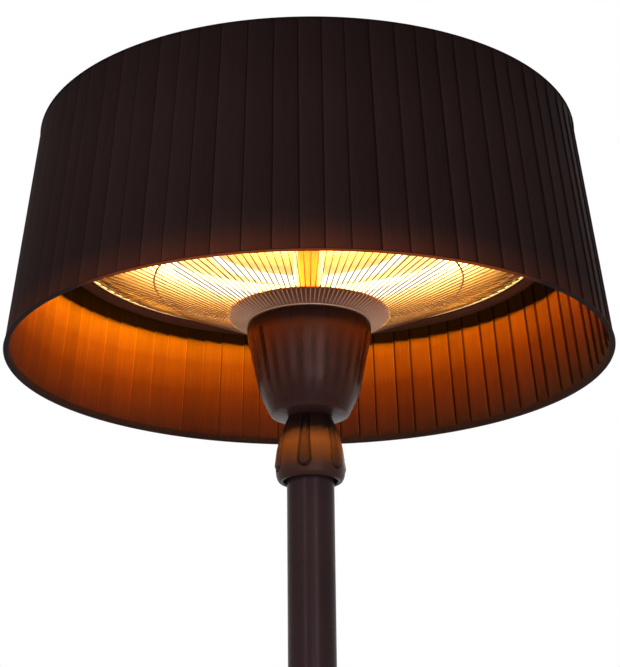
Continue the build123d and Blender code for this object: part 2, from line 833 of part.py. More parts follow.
with BuildPart() as tip_over_switch:
    tip_switch_r = bracket_boss_r + tip_switch_d / 2 + 2 * apart
    with BuildSketch(Plane.XY.offset(bracket_disc_z - seat)):
        with Locations(around(tip_switch_azimuth, tip_switch_r)):
            Circle(tip_switch_d / 2)
    extrude(amount=-tip_switch_h)
    chamfer(tip_over_switch.edges().group_by(Axis.Z)[0], length=tip_switch_chamfer)
tip_over_switch.part.label = "tip_over_switch"
export_step(tip_over_switch.part, "parts/tip_over_switch.step")

rocker_pitch = rocker_w + 2 * trunnion_l + rocker_gap
rocker_offsets = (-rocker_pitch / 2, rocker_pitch / 2)
pivot_plane = switch_face.offset(bezel_t - pivot_depth)
with BuildPart() as switch_bezel:
    with BuildSketch(switch_face):
        RectangleRounded(switch_w, switch_h, 2 * switch_margin)
    extrude(amount=bezel_t)
    with BuildSketch(switch_face):
        Rectangle(switch_w - 2 * switch_margin, switch_h - 2 * switch_margin)
    extrude(amount=-switch_body_depth)
    with BuildSketch(switch_face.offset(bezel_t)):
        with Locations(*[(x, 0) for x in rocker_offsets]):
            Rectangle(rocker_w + 2 * apart, 2 * rocker_r + 2 * apart)
    extrude(amount=-bezel_t - switch_body_depth + switch_body_t, mode=Mode.SUBTRACT)
    trunnion_plane = Plane(origin=pivot_plane.origin, x_dir=pivot_plane.y_dir, z_dir=pivot_plane.x_dir)
    for offset_x in rocker_offsets:
        with BuildSketch(trunnion_plane.offset(offset_x - rocker_w / 2 - trunnion_l - seat)):
            Circle(trunnion_d / 2 + running)
        extrude(amount=rocker_w + 2 * trunnion_l + 2 * seat, mode=Mode.SUBTRACT)
switch_bezel.part.label = "switch_bezel"
export_step(switch_bezel.part, "parts/switch_bezel.step")


rocker_half = rocker_r * cos(radians(rocker_throw + rocker_throw / 4))
rocker_end = rocker_peak - rocker_half * tan(radians(rocker_throw / 2))
rocker_reach = sqrt(rocker_half**2 + rocker_end**2)


def rocker_side(offset_x):
    """The plane across a rocker's left side, turned so that its upper half is pressed in."""
    along = trunnion_plane.x_dir.rotate(Axis((0, 0, 0), trunnion_plane.z_dir), rocker_throw / 2)
    turned = Plane(origin=trunnion_plane.origin, x_dir=along, z_dir=trunnion_plane.z_dir)
    return turned.offset(offset_x - rocker_w / 2)


with BuildPart() as rocker_low:
    with BuildSketch(rocker_side(rocker_offsets[0])):
        with BuildLine():
            crest = Polyline((-rocker_half, rocker_end), (0, rocker_peak), (rocker_half, rocker_end))
            right = ThreePointArc(crest @ 1, (rocker_reach, 0), (rocker_half, -rocker_end))
            left = ThreePointArc(crest @ 0, (-rocker_reach, 0), (-rocker_half, -rocker_end))
            Polyline(right @ 1, (rocker_half / 2, -rocker_depth), (-rocker_half / 2, -rocker_depth), left @ 1)
        make_face()
    extrude(amount=rocker_w)
    with BuildSketch(rocker_side(rocker_offsets[0]).offset(-trunnion_l)):
        Circle(trunnion_d / 2)
    extrude(amount=rocker_w + 2 * trunnion_l)
rocker_low.part.label = "rocker_low"
export_step(rocker_low.part, "parts/rocker_low.step")

with BuildPart() as rocker_high:
    with Locations(Location(switch_face.x_dir * rocker_pitch)):
        add(rocker_low.part)
rocker_high.part.label = "rocker_high"
export_step(rocker_high.part, "parts/rocker_high.step")

# ---------------------------------------------------------------- guard, reflector and lamps
with BuildPart() as hub_plate:
    with BuildSketch(Plane.XZ):
        with BuildLine():
            Polyline(
                (stem_hole_r, plate_under_z),
                (cup_top_r, plate_under_z),
                (hub_plate_r, plate_under_z + (hub_plate_r - cup_top_r) * guard_slope),
                (hub_plate_r, plate_under_z + (hub_plate_r - cup_top_r) * guard_slope + hub_plate_t),
                (cup_top_r, plate_under_z + hub_plate_t),
                (stem_hole_r, plate_under_z + hub_plate_t),
                close=True,
            )
        make_face()
    revolve(axis=Axis.Z)
hub_plate.part.label = "hub_plate"
export_step(hub_plate.part, "parts/hub_plate.step")

with BuildPart() as guard_wire:
    wire_start = around(wire_azimuth, guard_end_r, guard_z(guard_end_r))
    wire_way = around(wire_azimuth, cos(radians(guard_angle)), sin(radians(guard_angle)))
    wire_across = (cos(radians(wire_azimuth)), sin(radians(wire_azimuth)), 0)
    with BuildSketch(Plane(origin=wire_start, x_dir=wire_across, z_dir=wire_way)):
        Rectangle(wire_t, wire_t)
    extrude(amount=(guard_out_r - guard_end_r) / cos(radians(guard_angle)))

guard_rings = (
    (guard_out_r, guard_out_z, guard_ring_t, guard_ring_t),
    (guard_mid_r, guard_z(guard_mid_r) + wire_half_h, guard_mid_ring_t, guard_mid_ring_t),
    (
        guard_end_r + guard_hub_ring_w / 2,
        cup_top_z + seat + guard_hub_ring_h / 2,
        guard_hub_ring_w,
        guard_hub_ring_h,
    ),
)
facet_turn = wire_azimuth - 90 + 180 / wire_count  # a ring's corners lie between the wires
with BuildPart() as wire_guard:
    for ring_r, ring_z, ring_w, ring_h in guard_rings:
        with BuildSketch(Plane.XY.offset(ring_z - ring_h / 2)):
            RegularPolygon(ring_r + ring_w / 2, wire_count, rotation=facet_turn)
            RegularPolygon(ring_r - ring_w / 2, wire_count, rotation=facet_turn, mode=Mode.SUBTRACT)
        extrude(amount=ring_h)
    with PolarLocations(0, wire_count):
        add(guard_wire.part)
wire_guard.part.label = "wire_guard"
export_step(wire_guard.part, "parts/wire_guard.step")

with BuildPart() as reflector:
    with BuildSketch(Plane.XZ):
        with BuildLine():
            flare = SagittaArc(
                (reflector_r, reflector_low_z),
                (reflector_flat_r, reflector_top_z),
                reflector_bulge,
                mode=Mode.PRIVATE,
            )
            Polyline(
                *points_on(flare, turned_steps),
                (0, reflector_top_z),
                (0, reflector_low_z),
                close=True,
            )
        make_face()
    revolve(axis=Axis.Z)
    offset(amount=-reflector_t, openings=reflector.faces().sort_by(Axis.Z)[0], kind=Kind.INTERSECTION)
    with BuildSketch(Plane.XY.offset(reflector_under_z)):
        Circle(stem_hole_r)
    extrude(amount=reflector_t, mode=Mode.SUBTRACT)
reflector.part.label = "reflector"
export_step(reflector.part, "parts/reflector.step")


def gap_angle(radius):
    """The angle from the middle of a ring lamp's gap, at the back, to its end."""
    return degrees(lamp_gap / 2 / radius)


lamp_rings = ((outer_lamp_r, outer_lamp_z), (inner_lamp_r, inner_lamp_z))

with BuildPart() as outer_lamp:
    with BuildSketch(side_view(lamp_gap_azimuth + gap_angle(outer_lamp_r))):
        with Locations((outer_lamp_r, outer_lamp_z)):
            RegularPolygon(lamp_d / 2, lamp_sides)
    revolve(axis=Axis.Z, revolution_arc=360 - 2 * gap_angle(outer_lamp_r))
outer_lamp.part.label = "outer_lamp"
export_step(outer_lamp.part, "parts/outer_lamp.step")

with BuildPart() as inner_lamp:
    with BuildSketch(side_view(lamp_gap_azimuth + gap_angle(inner_lamp_r))):
        with Locations((inner_lamp_r, inner_lamp_z)):
            RegularPolygon(lamp_d / 2, lamp_sides)
    revolve(axis=Axis.Z, revolution_arc=360 - 2 * gap_angle(inner_lamp_r))
inner_lamp.part.label = "inner_lamp"
export_step(inner_lamp.part, "parts/inner_lamp.step")

with BuildPart() as lamp_holders:
    for ring_r, ring_z in lamp_rings:
        for hand in (-1, 1):
            end_plane = side_view(lamp_gap_azimuth + hand * gap_angle(ring_r)).offset(hand * seat)
            with BuildSketch(end_plane):
                with Locations((ring_r, (ring_z - holder_depth / 2 + reflector_under_z - seat) / 2)):
                    Rectangle(holder_depth, reflector_under_z - seat - ring_z + holder_depth / 2)
            extrude(amount=hand * holder_w)
lamp_holders.part.label = "lamp_holders"
export_step(lamp_holders.part, "parts/lamp_holders.step")

with BuildPart() as lamp_clips:
    clip_r = lamp_d / 2 + seat
    for ring_r, ring_z in lamp_rings:
        for clip_azimuth in clip_azimuths:
            with BuildSketch(side_view(clip_azimuth).offset(-clip_w / 2)):
                with Locations((ring_r, ring_z)):
                    Circle(clip_r + clip_t)
                with Locations((ring_r, (ring_z + reflector_under_z - seat) / 2)):
                    Rectangle(clip_t, reflector_under_z - seat - ring_z)
                with Locations((ring_r, ring_z)):
                    Circle(clip_r, mode=Mode.SUBTRACT)
                with Locations((ring_r, ring_z - clip_r - clip_t)):
                    Rectangle(lamp_d, lamp_d, mode=Mode.SUBTRACT)
            extrude(amount=clip_w)
lamp_clips.part.label = "lamp_clips"
export_step(lamp_clips.part, "parts/lamp_clips.step")

with BuildPart() as housing_pan:
    with BuildSketch(Plane.XZ):
        with BuildLine():
            pan_edge = SagittaArc(
                (pan_r, pan_wall_top_z), (pan_shoulder_r, pan_top_z), -pan_bulge, mode=Mode.PRIVATE
            )
            Polyline(
                (pan_r, pan_low_z),
                *points_on(pan_edge, turned_steps),
                (0, pan_top_z),
                (0, pan_low_z),
                close=True,
            )
        make_face()
    revolve(axis=Axis.Z)
    offset(amount=-pan_t, openings=housing_pan.faces().sort_by(Axis.Z)[0], kind=Kind.INTERSECTION)
    with BuildSketch(Plane.XZ):
        with BuildLine():
            Polyline(
                (pan_r - pan_t, pan_low_z),
                (pan_r, pan_low_z),
                (pan_r, pan_low_z + pan_t),
                (pan_lip_r, pan_lip_z + pan_t),
                (pan_lip_r, pan_lip_z),
                close=True,
            )
        make_face()
    revolve(axis=Axis.Z)
    with BuildSketch(Plane.XY.offset(pan_top_z - pan_t)):
        Circle(stem_hole_r)
    extrude(amount=pan_t, mode=Mode.SUBTRACT)
housing_pan.part.label = "housing_pan"
export_step(housing_pan.part, "parts/housing_pan.step")

with BuildPart() as pan_spacer:
    with BuildSketch(Plane.XY.offset(reflector_top_z)):
        Circle(stem_nut_flats / 2)
        Circle(stem_hole_r, mode=Mode.SUBTRACT)
    extrude(amount=pan_top_z - pan_t - reflector_top_z)
pan_spacer.part.label = "pan_spacer"
export_step(pan_spacer.part, "parts/pan_spacer.step")

with BuildPart() as thermal_cutout:
    with BuildSketch(Plane.XY.offset(reflector_top_z)):
        with Locations(around(cutout_azimuth, cutout_r)):
            Circle(cutout_d / 2)
    extrude(amount=cutout_h / 2)
    with BuildSketch(Plane.XY.offset(reflector_top_z + cutout_h / 2)):
        with Locations(around(cutout_azimuth, cutout_r)):
            Circle(cutout_cap_d / 2)
    extrude(amount=cutout_h / 2)
thermal_cutout.part.label = "thermal_cutout"
export_step(thermal_cutout.part, "parts/thermal_cutout.step")

# ---------------------------------------------------------------- stem and shade
stem_nut_heights = (
    bracket_disc_z - stem_nut_h,
    plate_under_z + hub_plate_t,
    reflector_under_z - stem_nut_h,
    pan_top_z,
    spider_z - stem_nut_h,
)
with BuildPart() as centre_stem:
    with BuildSketch(Plane.XY.offset(stem_low_z)):
        Circle(stem_r)
        Circle(stem_r - stem_wall, mode=Mode.SUBTRACT)
    extrude(amount=spider_top_z + finial_h - 2 * stem_wall - stem_low_z)
centre_stem.part.label = "centre_stem"
export_step(centre_stem.part, "parts/centre_stem.step")

with BuildPart() as stem_nuts:
    for nut_z in stem_nut_heights:
        with BuildSketch(Plane.XY.offset(nut_z)):
            RegularPolygon(stem_nut_flats / 2, 6, major_radius=False)
            Circle(stem_r + seat, mode=Mode.SUBTRACT)
        extrude(amount=stem_nut_h)
stem_nuts.part.label = "stem_nuts"
export_step(stem_nuts.part, "parts/stem_nuts.step")

with BuildPart() as finial_nut:
    with BuildSketch(Plane.XY.offset(spider_top_z)):
        Circle(finial_d / 2)
    extrude(amount=finial_h)
    chamfer(finial_nut.edges().group_by(Axis.Z)[-1], length=finial_h / 3)
    with BuildSketch(Plane.XY.offset(spider_top_z)):
        Circle(stem_r + seat)
    extrude(amount=finial_h - stem_wall, mode=Mode.SUBTRACT)
finial_nut.part.label = "finial_nut"
export_step(finial_nut.part, "parts/finial_nut.step")


def pleat_points(outer_r):
    """The folded cloth's outline: it jumps out at each fold and then falls back to the next."""
    depth = pleat_depth * outer_r / (shade_low_d / 2)
    pitch = 360 / pleat_count
    points = []
    for fold in range(pleat_count):
        fold_azimuth = pleat_azimuth + fold * pitch
        points.append(around(fold_azimuth, outer_r)[:2])
        points.append(around(fold_azimuth + pitch * (1 - pleat_riser), outer_r - depth)[:2])
    return points


cover_low_z = rim_height + binding_t + sewn
cover_top_edge_z = rim_height + shade_h - binding_t - sewn
cover_low_r = shade_r(cover_low_z) - binding_t - sewn
cover_top_r = shade_r(cover_top_edge_z) - binding_t - sewn

with BuildPart() as shade_cover:
    for inset, how in ((0.0, Mode.ADD), (cloth_t, Mode.SUBTRACT)):
        with BuildSketch(Plane.XY.offset(cover_low_z)):
            with BuildLine():
                Polyline(*pleat_points(cover_low_r - inset), close=True)
            make_face()
        with BuildSketch(Plane.XY.offset(cover_top_edge_z)):
            with BuildLine():
                Polyline(*pleat_points(cover_top_r - inset), close=True)
            make_face()
        loft(ruled=True, mode=how)
shade_cover.part.label = "shade_cover"
export_step(shade_cover.part, "parts/shade_cover.step")

ring_inset = binding_t + 2 * sewn + pleat_depth + cloth_t
low_ring_z = cover_low_z + low_ring_h / 2
with BuildPart() as lower_ring:
    with BuildSketch(Plane.XZ):
        with Locations((shade_r(low_ring_z) - ring_inset - ring_t / 2, low_ring_z)):
            Rectangle(ring_t, low_ring_h, rotation=degrees(atan(shade_slope)))
    revolve(axis=Axis.Z)
lower_ring.part.label = "lower_ring"
export_step(lower_ring.part, "parts/lower_ring.step")

top_ring_z = cover_top_edge_z - top_ring_h / 2
top_ring_r = shade_r(cover_top_edge_z) - ring_inset - ring_t / 2
with BuildPart() as upper_ring:
    with BuildSketch(Plane.XZ):
        with Locations((top_ring_r, top_ring_z)):
            Rectangle(ring_t, top_ring_h)
    revolve(axis=Axis.Z)
    for arm in range(arm_count):
        with BuildSketch(facing(arm_azimuth + arm * 360 / arm_count, top_ring_r - ring_t, top_ring_z)):
            Circle(arm_screw_d / 2 + seat)
        extrude(amount=2 * ring_t, mode=Mode.SUBTRACT)
upper_ring.part.label = "upper_ring"
export_step(upper_ring.part, "parts/upper_ring.step")

binding_w = ring_inset + ring_t + sewn
with BuildPart() as lower_binding:
    with BuildSketch(Plane.XZ):
        with BuildLine():
            Polyline(
                (shade_r(rim_height), rim_height),
                (shade_r(rim_height + binding_h), rim_height + binding_h),
                (shade_r(rim_height + binding_h) - binding_t, rim_height + binding_h),
                (shade_r(rim_height) - binding_t, rim_height + binding_t),
                (shade_r(rim_height) - binding_w, rim_height + binding_t),
                (shade_r(rim_height + binding_h) - binding_w, rim_height + binding_h),
                (shade_r(rim_height + binding_h) - binding_w - binding_t, rim_height + binding_h),
                (shade_r(rim_height) - binding_w - binding_t, rim_height),
                close=True,
            )
        make_face()
    revolve(axis=Axis.Z)
lower_binding.part.label = "lower_binding"
export_step(lower_binding.part, "parts/lower_binding.step")

with BuildPart() as upper_binding:
    with BuildSketch(Plane.XZ):
        with BuildLine():
            Polyline(
                (shade_r(head_h), head_h),
                (shade_r(head_h - binding_h), head_h - binding_h),
                (shade_r(head_h - binding_h) - binding_t, head_h - binding_h),
                (shade_r(head_h) - binding_t, head_h - binding_t),
                (top_ring_r - ring_t / 2, head_h - binding_t),
                (top_ring_r - ring_t / 2, head_h),
                close=True,
            )
        make_face()
    revolve(axis=Axis.Z)
upper_binding.part.label = "upper_binding"
export_step(upper_binding.part, "parts/upper_binding.step")

arm_end_r = sqrt((top_ring_r - ring_t / 2) ** 2 - (arm_w / 2) ** 2) - seat
with BuildPart() as spider_arm:
    with BuildSketch(side_view(arm_azimuth).offset(-arm_w / 2)):
        with BuildLine():
            Polyline(
                (spider_hub_r - arm_w / 2, spider_z),
                (arm_end_r, spider_z),
                (arm_end_r, cover_top_edge_z - binding_t),
                (arm_end_r - spider_t, cover_top_edge_z - binding_t),
                (arm_end_r - spider_t, spider_top_z),
                (spider_hub_r - arm_w / 2, spider_top_z),
                close=True,
            )
        make_face()
    extrude(amount=arm_w)
    with BuildSketch(facing(arm_azimuth, arm_end_r - 2 * spider_t, top_ring_z)):
        Circle(arm_screw_d / 2 + seat)
    extrude(amount=3 * spider_t, mode=Mode.SUBTRACT)

with BuildPart() as shade_spider:
    with BuildSketch(Plane.XY.offset(spider_z)):
        Circle(spider_hub_r)
    extrude(amount=spider_t)
    with PolarLocations(0, arm_count):
        add(spider_arm.part)
    with BuildSketch(Plane.XY.offset(spider_z)):
        Circle(stem_hole_r)
    extrude(amount=spider_t, mode=Mode.SUBTRACT)
shade_spider.part.label = "shade_spider"
export_step(shade_spider.part, "parts/shade_spider.step")

with BuildPart() as arm_screws:
    for arm in range(arm_count):
        head_plane = facing(arm_azimuth + arm * 360 / arm_count, arm_end_r - spider_t, top_ring_z)
        with BuildSketch(head_plane):
            Circle(arm_screw_d / 2)
        extrude(amount=spider_t + ring_t)
        with BuildSketch(head_plane):
            Circle(arm_screw_head_d / 2)
        extrude(amount=-arm_screw_head_h)
arm_screws.part.label = "arm_screws"
export_step(arm_screws.part, "parts/arm_screws.step")
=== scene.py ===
"""Looks of the electric patio heater tower: its cloth, wires, lamps, finishes and studio."""

import json
from math import atan2, cos, pi, radians, sin, tau

import bpy
from bpy.props import FloatProperty, FloatVectorProperty, IntProperty, PointerProperty
from mathutils import Matrix, Vector


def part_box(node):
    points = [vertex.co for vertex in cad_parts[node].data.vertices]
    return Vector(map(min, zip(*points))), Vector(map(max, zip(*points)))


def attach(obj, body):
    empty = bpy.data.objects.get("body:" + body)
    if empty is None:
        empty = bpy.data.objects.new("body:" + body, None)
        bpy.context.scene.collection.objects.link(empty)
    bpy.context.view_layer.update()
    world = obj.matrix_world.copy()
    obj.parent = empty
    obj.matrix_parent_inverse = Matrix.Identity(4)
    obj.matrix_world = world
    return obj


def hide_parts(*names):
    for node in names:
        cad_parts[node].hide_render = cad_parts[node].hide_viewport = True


bl_info = {
    "name": "Patio heater looks",
    "version": (1, 0, 0),
    "blender": (4, 5, 0),
    "location": "View3D > Sidebar > Heater",
    "description": "Dresses the patio heater's solids with cloth, wires, lamps and finishes",
    "category": "Object",
}

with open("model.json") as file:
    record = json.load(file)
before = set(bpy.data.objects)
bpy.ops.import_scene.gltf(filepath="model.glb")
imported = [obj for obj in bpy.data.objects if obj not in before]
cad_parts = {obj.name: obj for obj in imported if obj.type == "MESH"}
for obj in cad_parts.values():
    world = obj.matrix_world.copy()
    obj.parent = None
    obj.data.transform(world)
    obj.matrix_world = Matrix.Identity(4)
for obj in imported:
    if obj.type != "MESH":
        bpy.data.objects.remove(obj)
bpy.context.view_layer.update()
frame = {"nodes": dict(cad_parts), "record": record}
nodes = frame["nodes"]

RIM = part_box("lower_binding")[0].z  # height of the shade's lower rim
SHADE_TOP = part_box("upper_binding")[1].z
RIM_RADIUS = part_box("lower_binding")[1].x
TOP_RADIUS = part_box("upper_binding")[1].x

# Where the folds at the front stand off the even spacing, in shares of a pleat, left to right
FRONT_FOLDS = (0.02, -0.06, -0.12, -0.16, 0.0, 0.12, 0.13, 0.04, 0.0, 0.1, 0.17, 0.08)
# One pleat: how far along it each edge stands, and how far the outside and the lining sink there
PLEAT_EDGES = (
    (0.0, 0.0, 0.0),
    (0.05, 0.03, 0.07),
    (0.36, 0.3, 0.34),
    (0.68, 0.66, 0.68),
    (0.9, 0.92, 0.92),
    (0.95, 1.0, 1.0),
    (0.985, 0.5, 0.5),
)
# Painted light and shade at those edges, outside and on the lining: a painted highlight on each
# fold's edge and painted shade in its tuck
PLEAT_PAINTED_LIGHT = (
    (1.5, 1.7),
    (1.15, 1.0),
    (1.0, 0.95),
    (0.96, 1.0),
    (0.86, 0.95),
    (0.4, 0.3),
    (0.5, 0.45),
)
# How far from the rim and from the top the hems press the lining's folds flat, and over what
# height the folds come free
PRESSED_LOW = 0.006
PRESSED_TOP = 0.014
PRESSED_FADE = 0.008
TOP_FADE = 0.022  # how far below the top the outside's folds reach their depth
# The outside's glow near the rim is painted on, strongest at the front
RIM_GLOW = 0.04  # how far over the rim the glow reaches on the outside
# Height over the rim where the pan keeps the glow off the lining, how much that line rises along
# a pleat, and the share of the lining's colour that is left above it
PAN_SHADE = 0.1122
PAN_SHADE_RISE = 0.003
PAN_SHADE_LEFT = 0.11
# Heights over the cloth's lower edge where its folds have points
CLOTH_RISES = (0.0, 0.0055, 0.0085, 0.0125, 0.02, 0.045, 0.075, 0.1)
CLOTH_RISES += (PAN_SHADE - 0.001, PAN_SHADE + 0.001, 0.135, 0.165, 0.19, 0.208, 0.215, 0.22)
HEM_CLOTH = 0.0004  # thickness of a hem's tape
HEM_DEPTH = 0.0053  # how far a hem reaches in from the shade's outside

# Radius and height over the rim of a guard wire's two ends, and of a point on the rings' line
WIRE_ENDS = ((0.0597, 0.0394), (0.2405, 0.1203))
RING_LINE = (0.063, 0.041)
# The guard's rings: radius, thickness, rise over their line and material
GUARD_RINGS = (
    (0.2405, 0.0032, 0.0, "guard bead glint"),
    (0.1553, 0.0018, 0.0014, "finish guard_steel"),
    (0.0612, 0.0022, 0.0002, "finish guard_steel"),
)

# The ring lamps' nodes, radii and heights over the rim, and half the gap between their ends
RING_LAMPS = (("outer_lamp", 0.144, 0.120), ("inner_lamp", 0.102, 0.127))
LAMP_GAP = 0.015
# The lamps' tubes as the camera sees them, which are paler than the light they throw
TUBE_COLOUR = (1.0, 0.93, 0.72)
TUBE_STRENGTH = 1.7

# Where the cup's screws and switches sit, and how far its wall leans in there
SCREW_AZIMUTHS = (radians(-51.0), radians(69.0), radians(189.0))
SLOT_RADIUS = 0.003
SLOT_TOP = 0.023  # height over the rim of the middle of a slot's round top
SWITCH_AZIMUTH = radians(129.0)
SWITCH_LEAN = radians(9.0)
# Width, height, depth and shift outward of the switches' pad and of the hole through it
SWITCH_PAD = (0.0294, 0.0244, 0.01, -0.005)
SWITCH_HOLE = (0.0247, 0.0197, 0.02, 0.0)

# How far below the rim the collar begins, its tongues' round ends have their middle, and its
# tongues' grooves end
COLLAR_TOP = 0.0573
TONGUE_END = 0.1068
GROOVE_END = 0.117
# Half a tongue's width at its top and what it gains lower down, and the radius of its end
TONGUE_HALF = 0.0013
TONGUE_FLARE = 0.0036
TONGUE_END_RADIUS = 0.0049
TONGUE_ROUND = 0.0008  # width of a tongue's rounded edge
GROOVE_WIDTH = 0.0026

WHITE = (1.0, 1.0, 1.0, 1.0)
# The soft lights: name, azimuth, distance, height, width and length, and power
LIGHTS = (
    ("box left", -30.0, 3.4, 2.2, (0.35, 2.0), 24.0),
    ("box right", 24.0, 3.4, 1.6, (0.5, 2.4), 54.0),
    ("box front", 3.0, 3.2, 1.2, (0.3, 1.4), 27.0),
    ("above", -60.0, 3.0, 3.6, (1.8, 1.8), 45.0),
    ("behind", 165.0, 3.0, 3.2, (2.0, 1.2), 30.0),
)
LIT_POINT = (0, 0, 1.75)  # what they are turned to
# The photograph's camera, which was fitted to the shade's rims, the cup and the pole
CAMERA_PLACE = (0.0, -1.644, RIM - 0.546)
CAMERA_PITCH, CAMERA_YAW, CAMERA_ROLL = 0.3375, 0.0005, -0.010
CAMERA_LENS, CAMERA_SENSOR = 94.23, 36.0


# ---------------------------------------------------------------- sizes and colours
class HeaterSizes(bpy.types.PropertyGroup):
    """Sizes of the pieces that are made here"""

    pleats: IntProperty(name="Pleats", description="Folds round the shade", default=80)
    pleat_depth: FloatProperty(
        name="Pleat depth",
        description="How far a pleat sinks to the next fold",
        default=0.0018,
        unit="LENGTH",
    )
    lining_depth: FloatProperty(
        name="Lining depth",
        description="How far a pleat steps out inside",
        default=0.0030,
        unit="LENGTH",
    )
    hemmed_depth: FloatProperty(
        name="Hemmed depth",
        description="The same where a hem presses the folds flat",
        default=0.0008,
        unit="LENGTH",
    )
    first_fold: FloatProperty(
        name="First fold",
        description="Azimuth of the fold nearest the front",
        default=radians(-1.8),
        unit="ROTATION",
    )
    cloth: FloatProperty(
        name="Cloth",
        description="Thickness of the folded cloth between its folds",
        default=0.0004,
        unit="LENGTH",
    )
    wires: IntProperty(name="Wires", description="Wires of the guard", default=108)
    wire_turn: FloatProperty(
        name="Wire turn",
        description="Azimuth of the guard's first wire",
        default=radians(1.2),
        unit="ROTATION",
    )
    wire_width: FloatProperty(
        name="Wire", description="Thickness of a guard wire", default=0.0012, unit="LENGTH"
    )
    lamp_width: FloatProperty(
        name="Lamp", description="Thickness of a ring lamp's tube", default=0.011, unit="LENGTH"
    )
    tongues: IntProperty(
        name="Tongues", description="Raised tongues round the collar", default=6
    )
    tongue_turn: FloatProperty(
        name="Tongue turn",
        description="Azimuth of the collar's front tongue",
        default=radians(-10.7),
        unit="ROTATION",
    )
    tongue_rise: FloatProperty(
        name="Tongue rise",
        description="How far a tongue's low end stands out",
        default=0.0016,
        unit="LENGTH",
    )
    tongue_groove: FloatProperty(
        name="Tongue groove",
        description="Depth of the groove round a tongue",
        default=0.0015,
        unit="LENGTH",
    )


class HeaterColours(bpy.types.PropertyGroup):
    """Colours of the cloth, the coats and the lamps' light"""

    cloth: FloatVectorProperty(
        name="Cloth",
        description="Outside of the shade",
        subtype="COLOR",
        default=(0.0122, 0.0063, 0.0062),
    )
    # The lamps' glow painted on the outside near the rim
    cloth_rim_glow: FloatVectorProperty(
        name="Cloth low",
        description="Outside of the shade near its rim",
        subtype="COLOR",
        default=(0.03, 0.0095, 0.006),
    )
    # The lining's colours carry the lamps' glow painted in, brightest just below the pan and fading
    # towards the rim
    lining_glow_top: FloatVectorProperty(
        name="Lining top",
        description="Inside of the shade just below the pan",
        subtype="COLOR",
        default=(0.46, 0.135, 0.0005),
    )
    lining: FloatVectorProperty(
        name="Lining",
        description="Inside of the shade",
        subtype="COLOR",
        default=(0.25, 0.058, 0.0004),
    )
    lining_glow_mid: FloatVectorProperty(
        name="Lining mid",
        description="Inside of the shade a hand above its rim",
        subtype="COLOR",
        default=(0.11, 0.0195, 0.0006),
    )
    lining_glow_low: FloatVectorProperty(
        name="Lining low",
        description="Inside of the shade just above its rim",
        subtype="COLOR",
        default=(0.058, 0.0108, 0.0028),
    )
    lining_glow_rim: FloatVectorProperty(
        name="Lining rim",
        description="Inside of the shade at its rim",
        subtype="COLOR",
        default=(0.027, 0.0082, 0.0048),
    )
    coat: FloatVectorProperty(
        name="Coat",
        description="Baked coat of the pole and base",
        subtype="COLOR",
        default=(0.017, 0.0085, 0.009),
    )
    gloss: FloatVectorProperty(
        name="Gloss",
        description="Moulded cup and collar",
        subtype="COLOR",
        default=(0.02, 0.0085, 0.007),
    )
    # The lamps' glow painted on the cup near the guard
    gloss_glow: FloatVectorProperty(
        name="Gloss warm",
        description="Moulded cup near the guard",
        subtype="COLOR",
        default=(0.034, 0.0095, 0.004),
    )
    # The lamps' glow painted on the collar between its tongues
    collar_glow: FloatVectorProperty(
        name="Collar warm",
        description="Collar between its tongues",
        subtype="COLOR",
        default=(0.175, 0.05, 0.01),
    )
    glow: FloatVectorProperty(
        name="Glow",
        description="Colour of the lamps' light",
        subtype="COLOR",
        default=(1.0, 0.65, 0.2),
    )
    glow_strength: FloatProperty(
        name="Glow strength", description="Strength of the lamps' light", default=50.0
    )


# ---------------------------------------------------------------- materials
def new_material(name, colour, roughness, metallic=0.0):
    """A shader with its plain values set on its own sockets."""
    material = bpy.data.materials.new(name)
    material.use_nodes = True
    shader = material.node_tree.nodes["Principled BSDF"]
    shader.inputs["Base Color"].default_value = (*colour, 1.0)
    shader.inputs["Roughness"].default_value = roughness
    shader.inputs["Metallic"].default_value = metallic
    return material, material.node_tree, shader


def add_node(tree, kind, inputs, operation=None):
    """A node whose inputs are linked to other nodes' sockets or set to plain values."""
    made = tree.nodes.new(kind)
    if operation:
        made.operation = operation
    for socket, value in inputs.items():
        if isinstance(value, bpy.types.NodeSocket):
            tree.links.new(value, made.inputs[socket])
        else:
            made.inputs[socket].default_value = value
    return made


def place(tree, source, stretch=(1.0, 1.0, 1.0)):
    """Texture coordinates, stretched."""
    coordinates = tree.nodes.new("ShaderNodeTexCoord")
    inputs = {"Vector": coordinates.outputs[source], "Scale": stretch}
    return add_node(tree, "ShaderNodeMapping", inputs).outputs["Vector"]


def along_axis(tree, source, axis):
    """Texture coordinates along one axis."""
    split = add_node(tree, "ShaderNodeSeparateXYZ", {"Vector": place(tree, source)})
    return split.outputs[axis]


def from_middle(tree):
    """Distance from the tower's upright axis."""
    level = place(tree, "Object", (1.0, 1.0, 0.0))
    return add_node(tree, "ShaderNodeVectorMath", {0: level}, "LENGTH").outputs["Value"]


def grain(tree, vector, scale, detail=3.0, rough=0.5):
    """Noise over the surface, from 0 to 1."""
    inputs = {"Vector": vector, "Scale": scale, "Detail": detail, "Roughness": rough}
    return add_node(tree, "ShaderNodeTexNoise", inputs).outputs["Fac"]


def share_of(tree, value, low, high, least=0.0, most=1.0):
    """How far a value has come from low to high, brought between least and most."""
    inputs = {"Value": value, "From Min": low, "From Max": high, "To Min": least, "To Max": most}
    return add_node(tree, "ShaderNodeMapRange", inputs).outputs["Result"]


def spread(tree, factor, low, high):
    """Noise brought into a range."""
    return share_of(tree, factor, 0.25, 0.75, low, high)


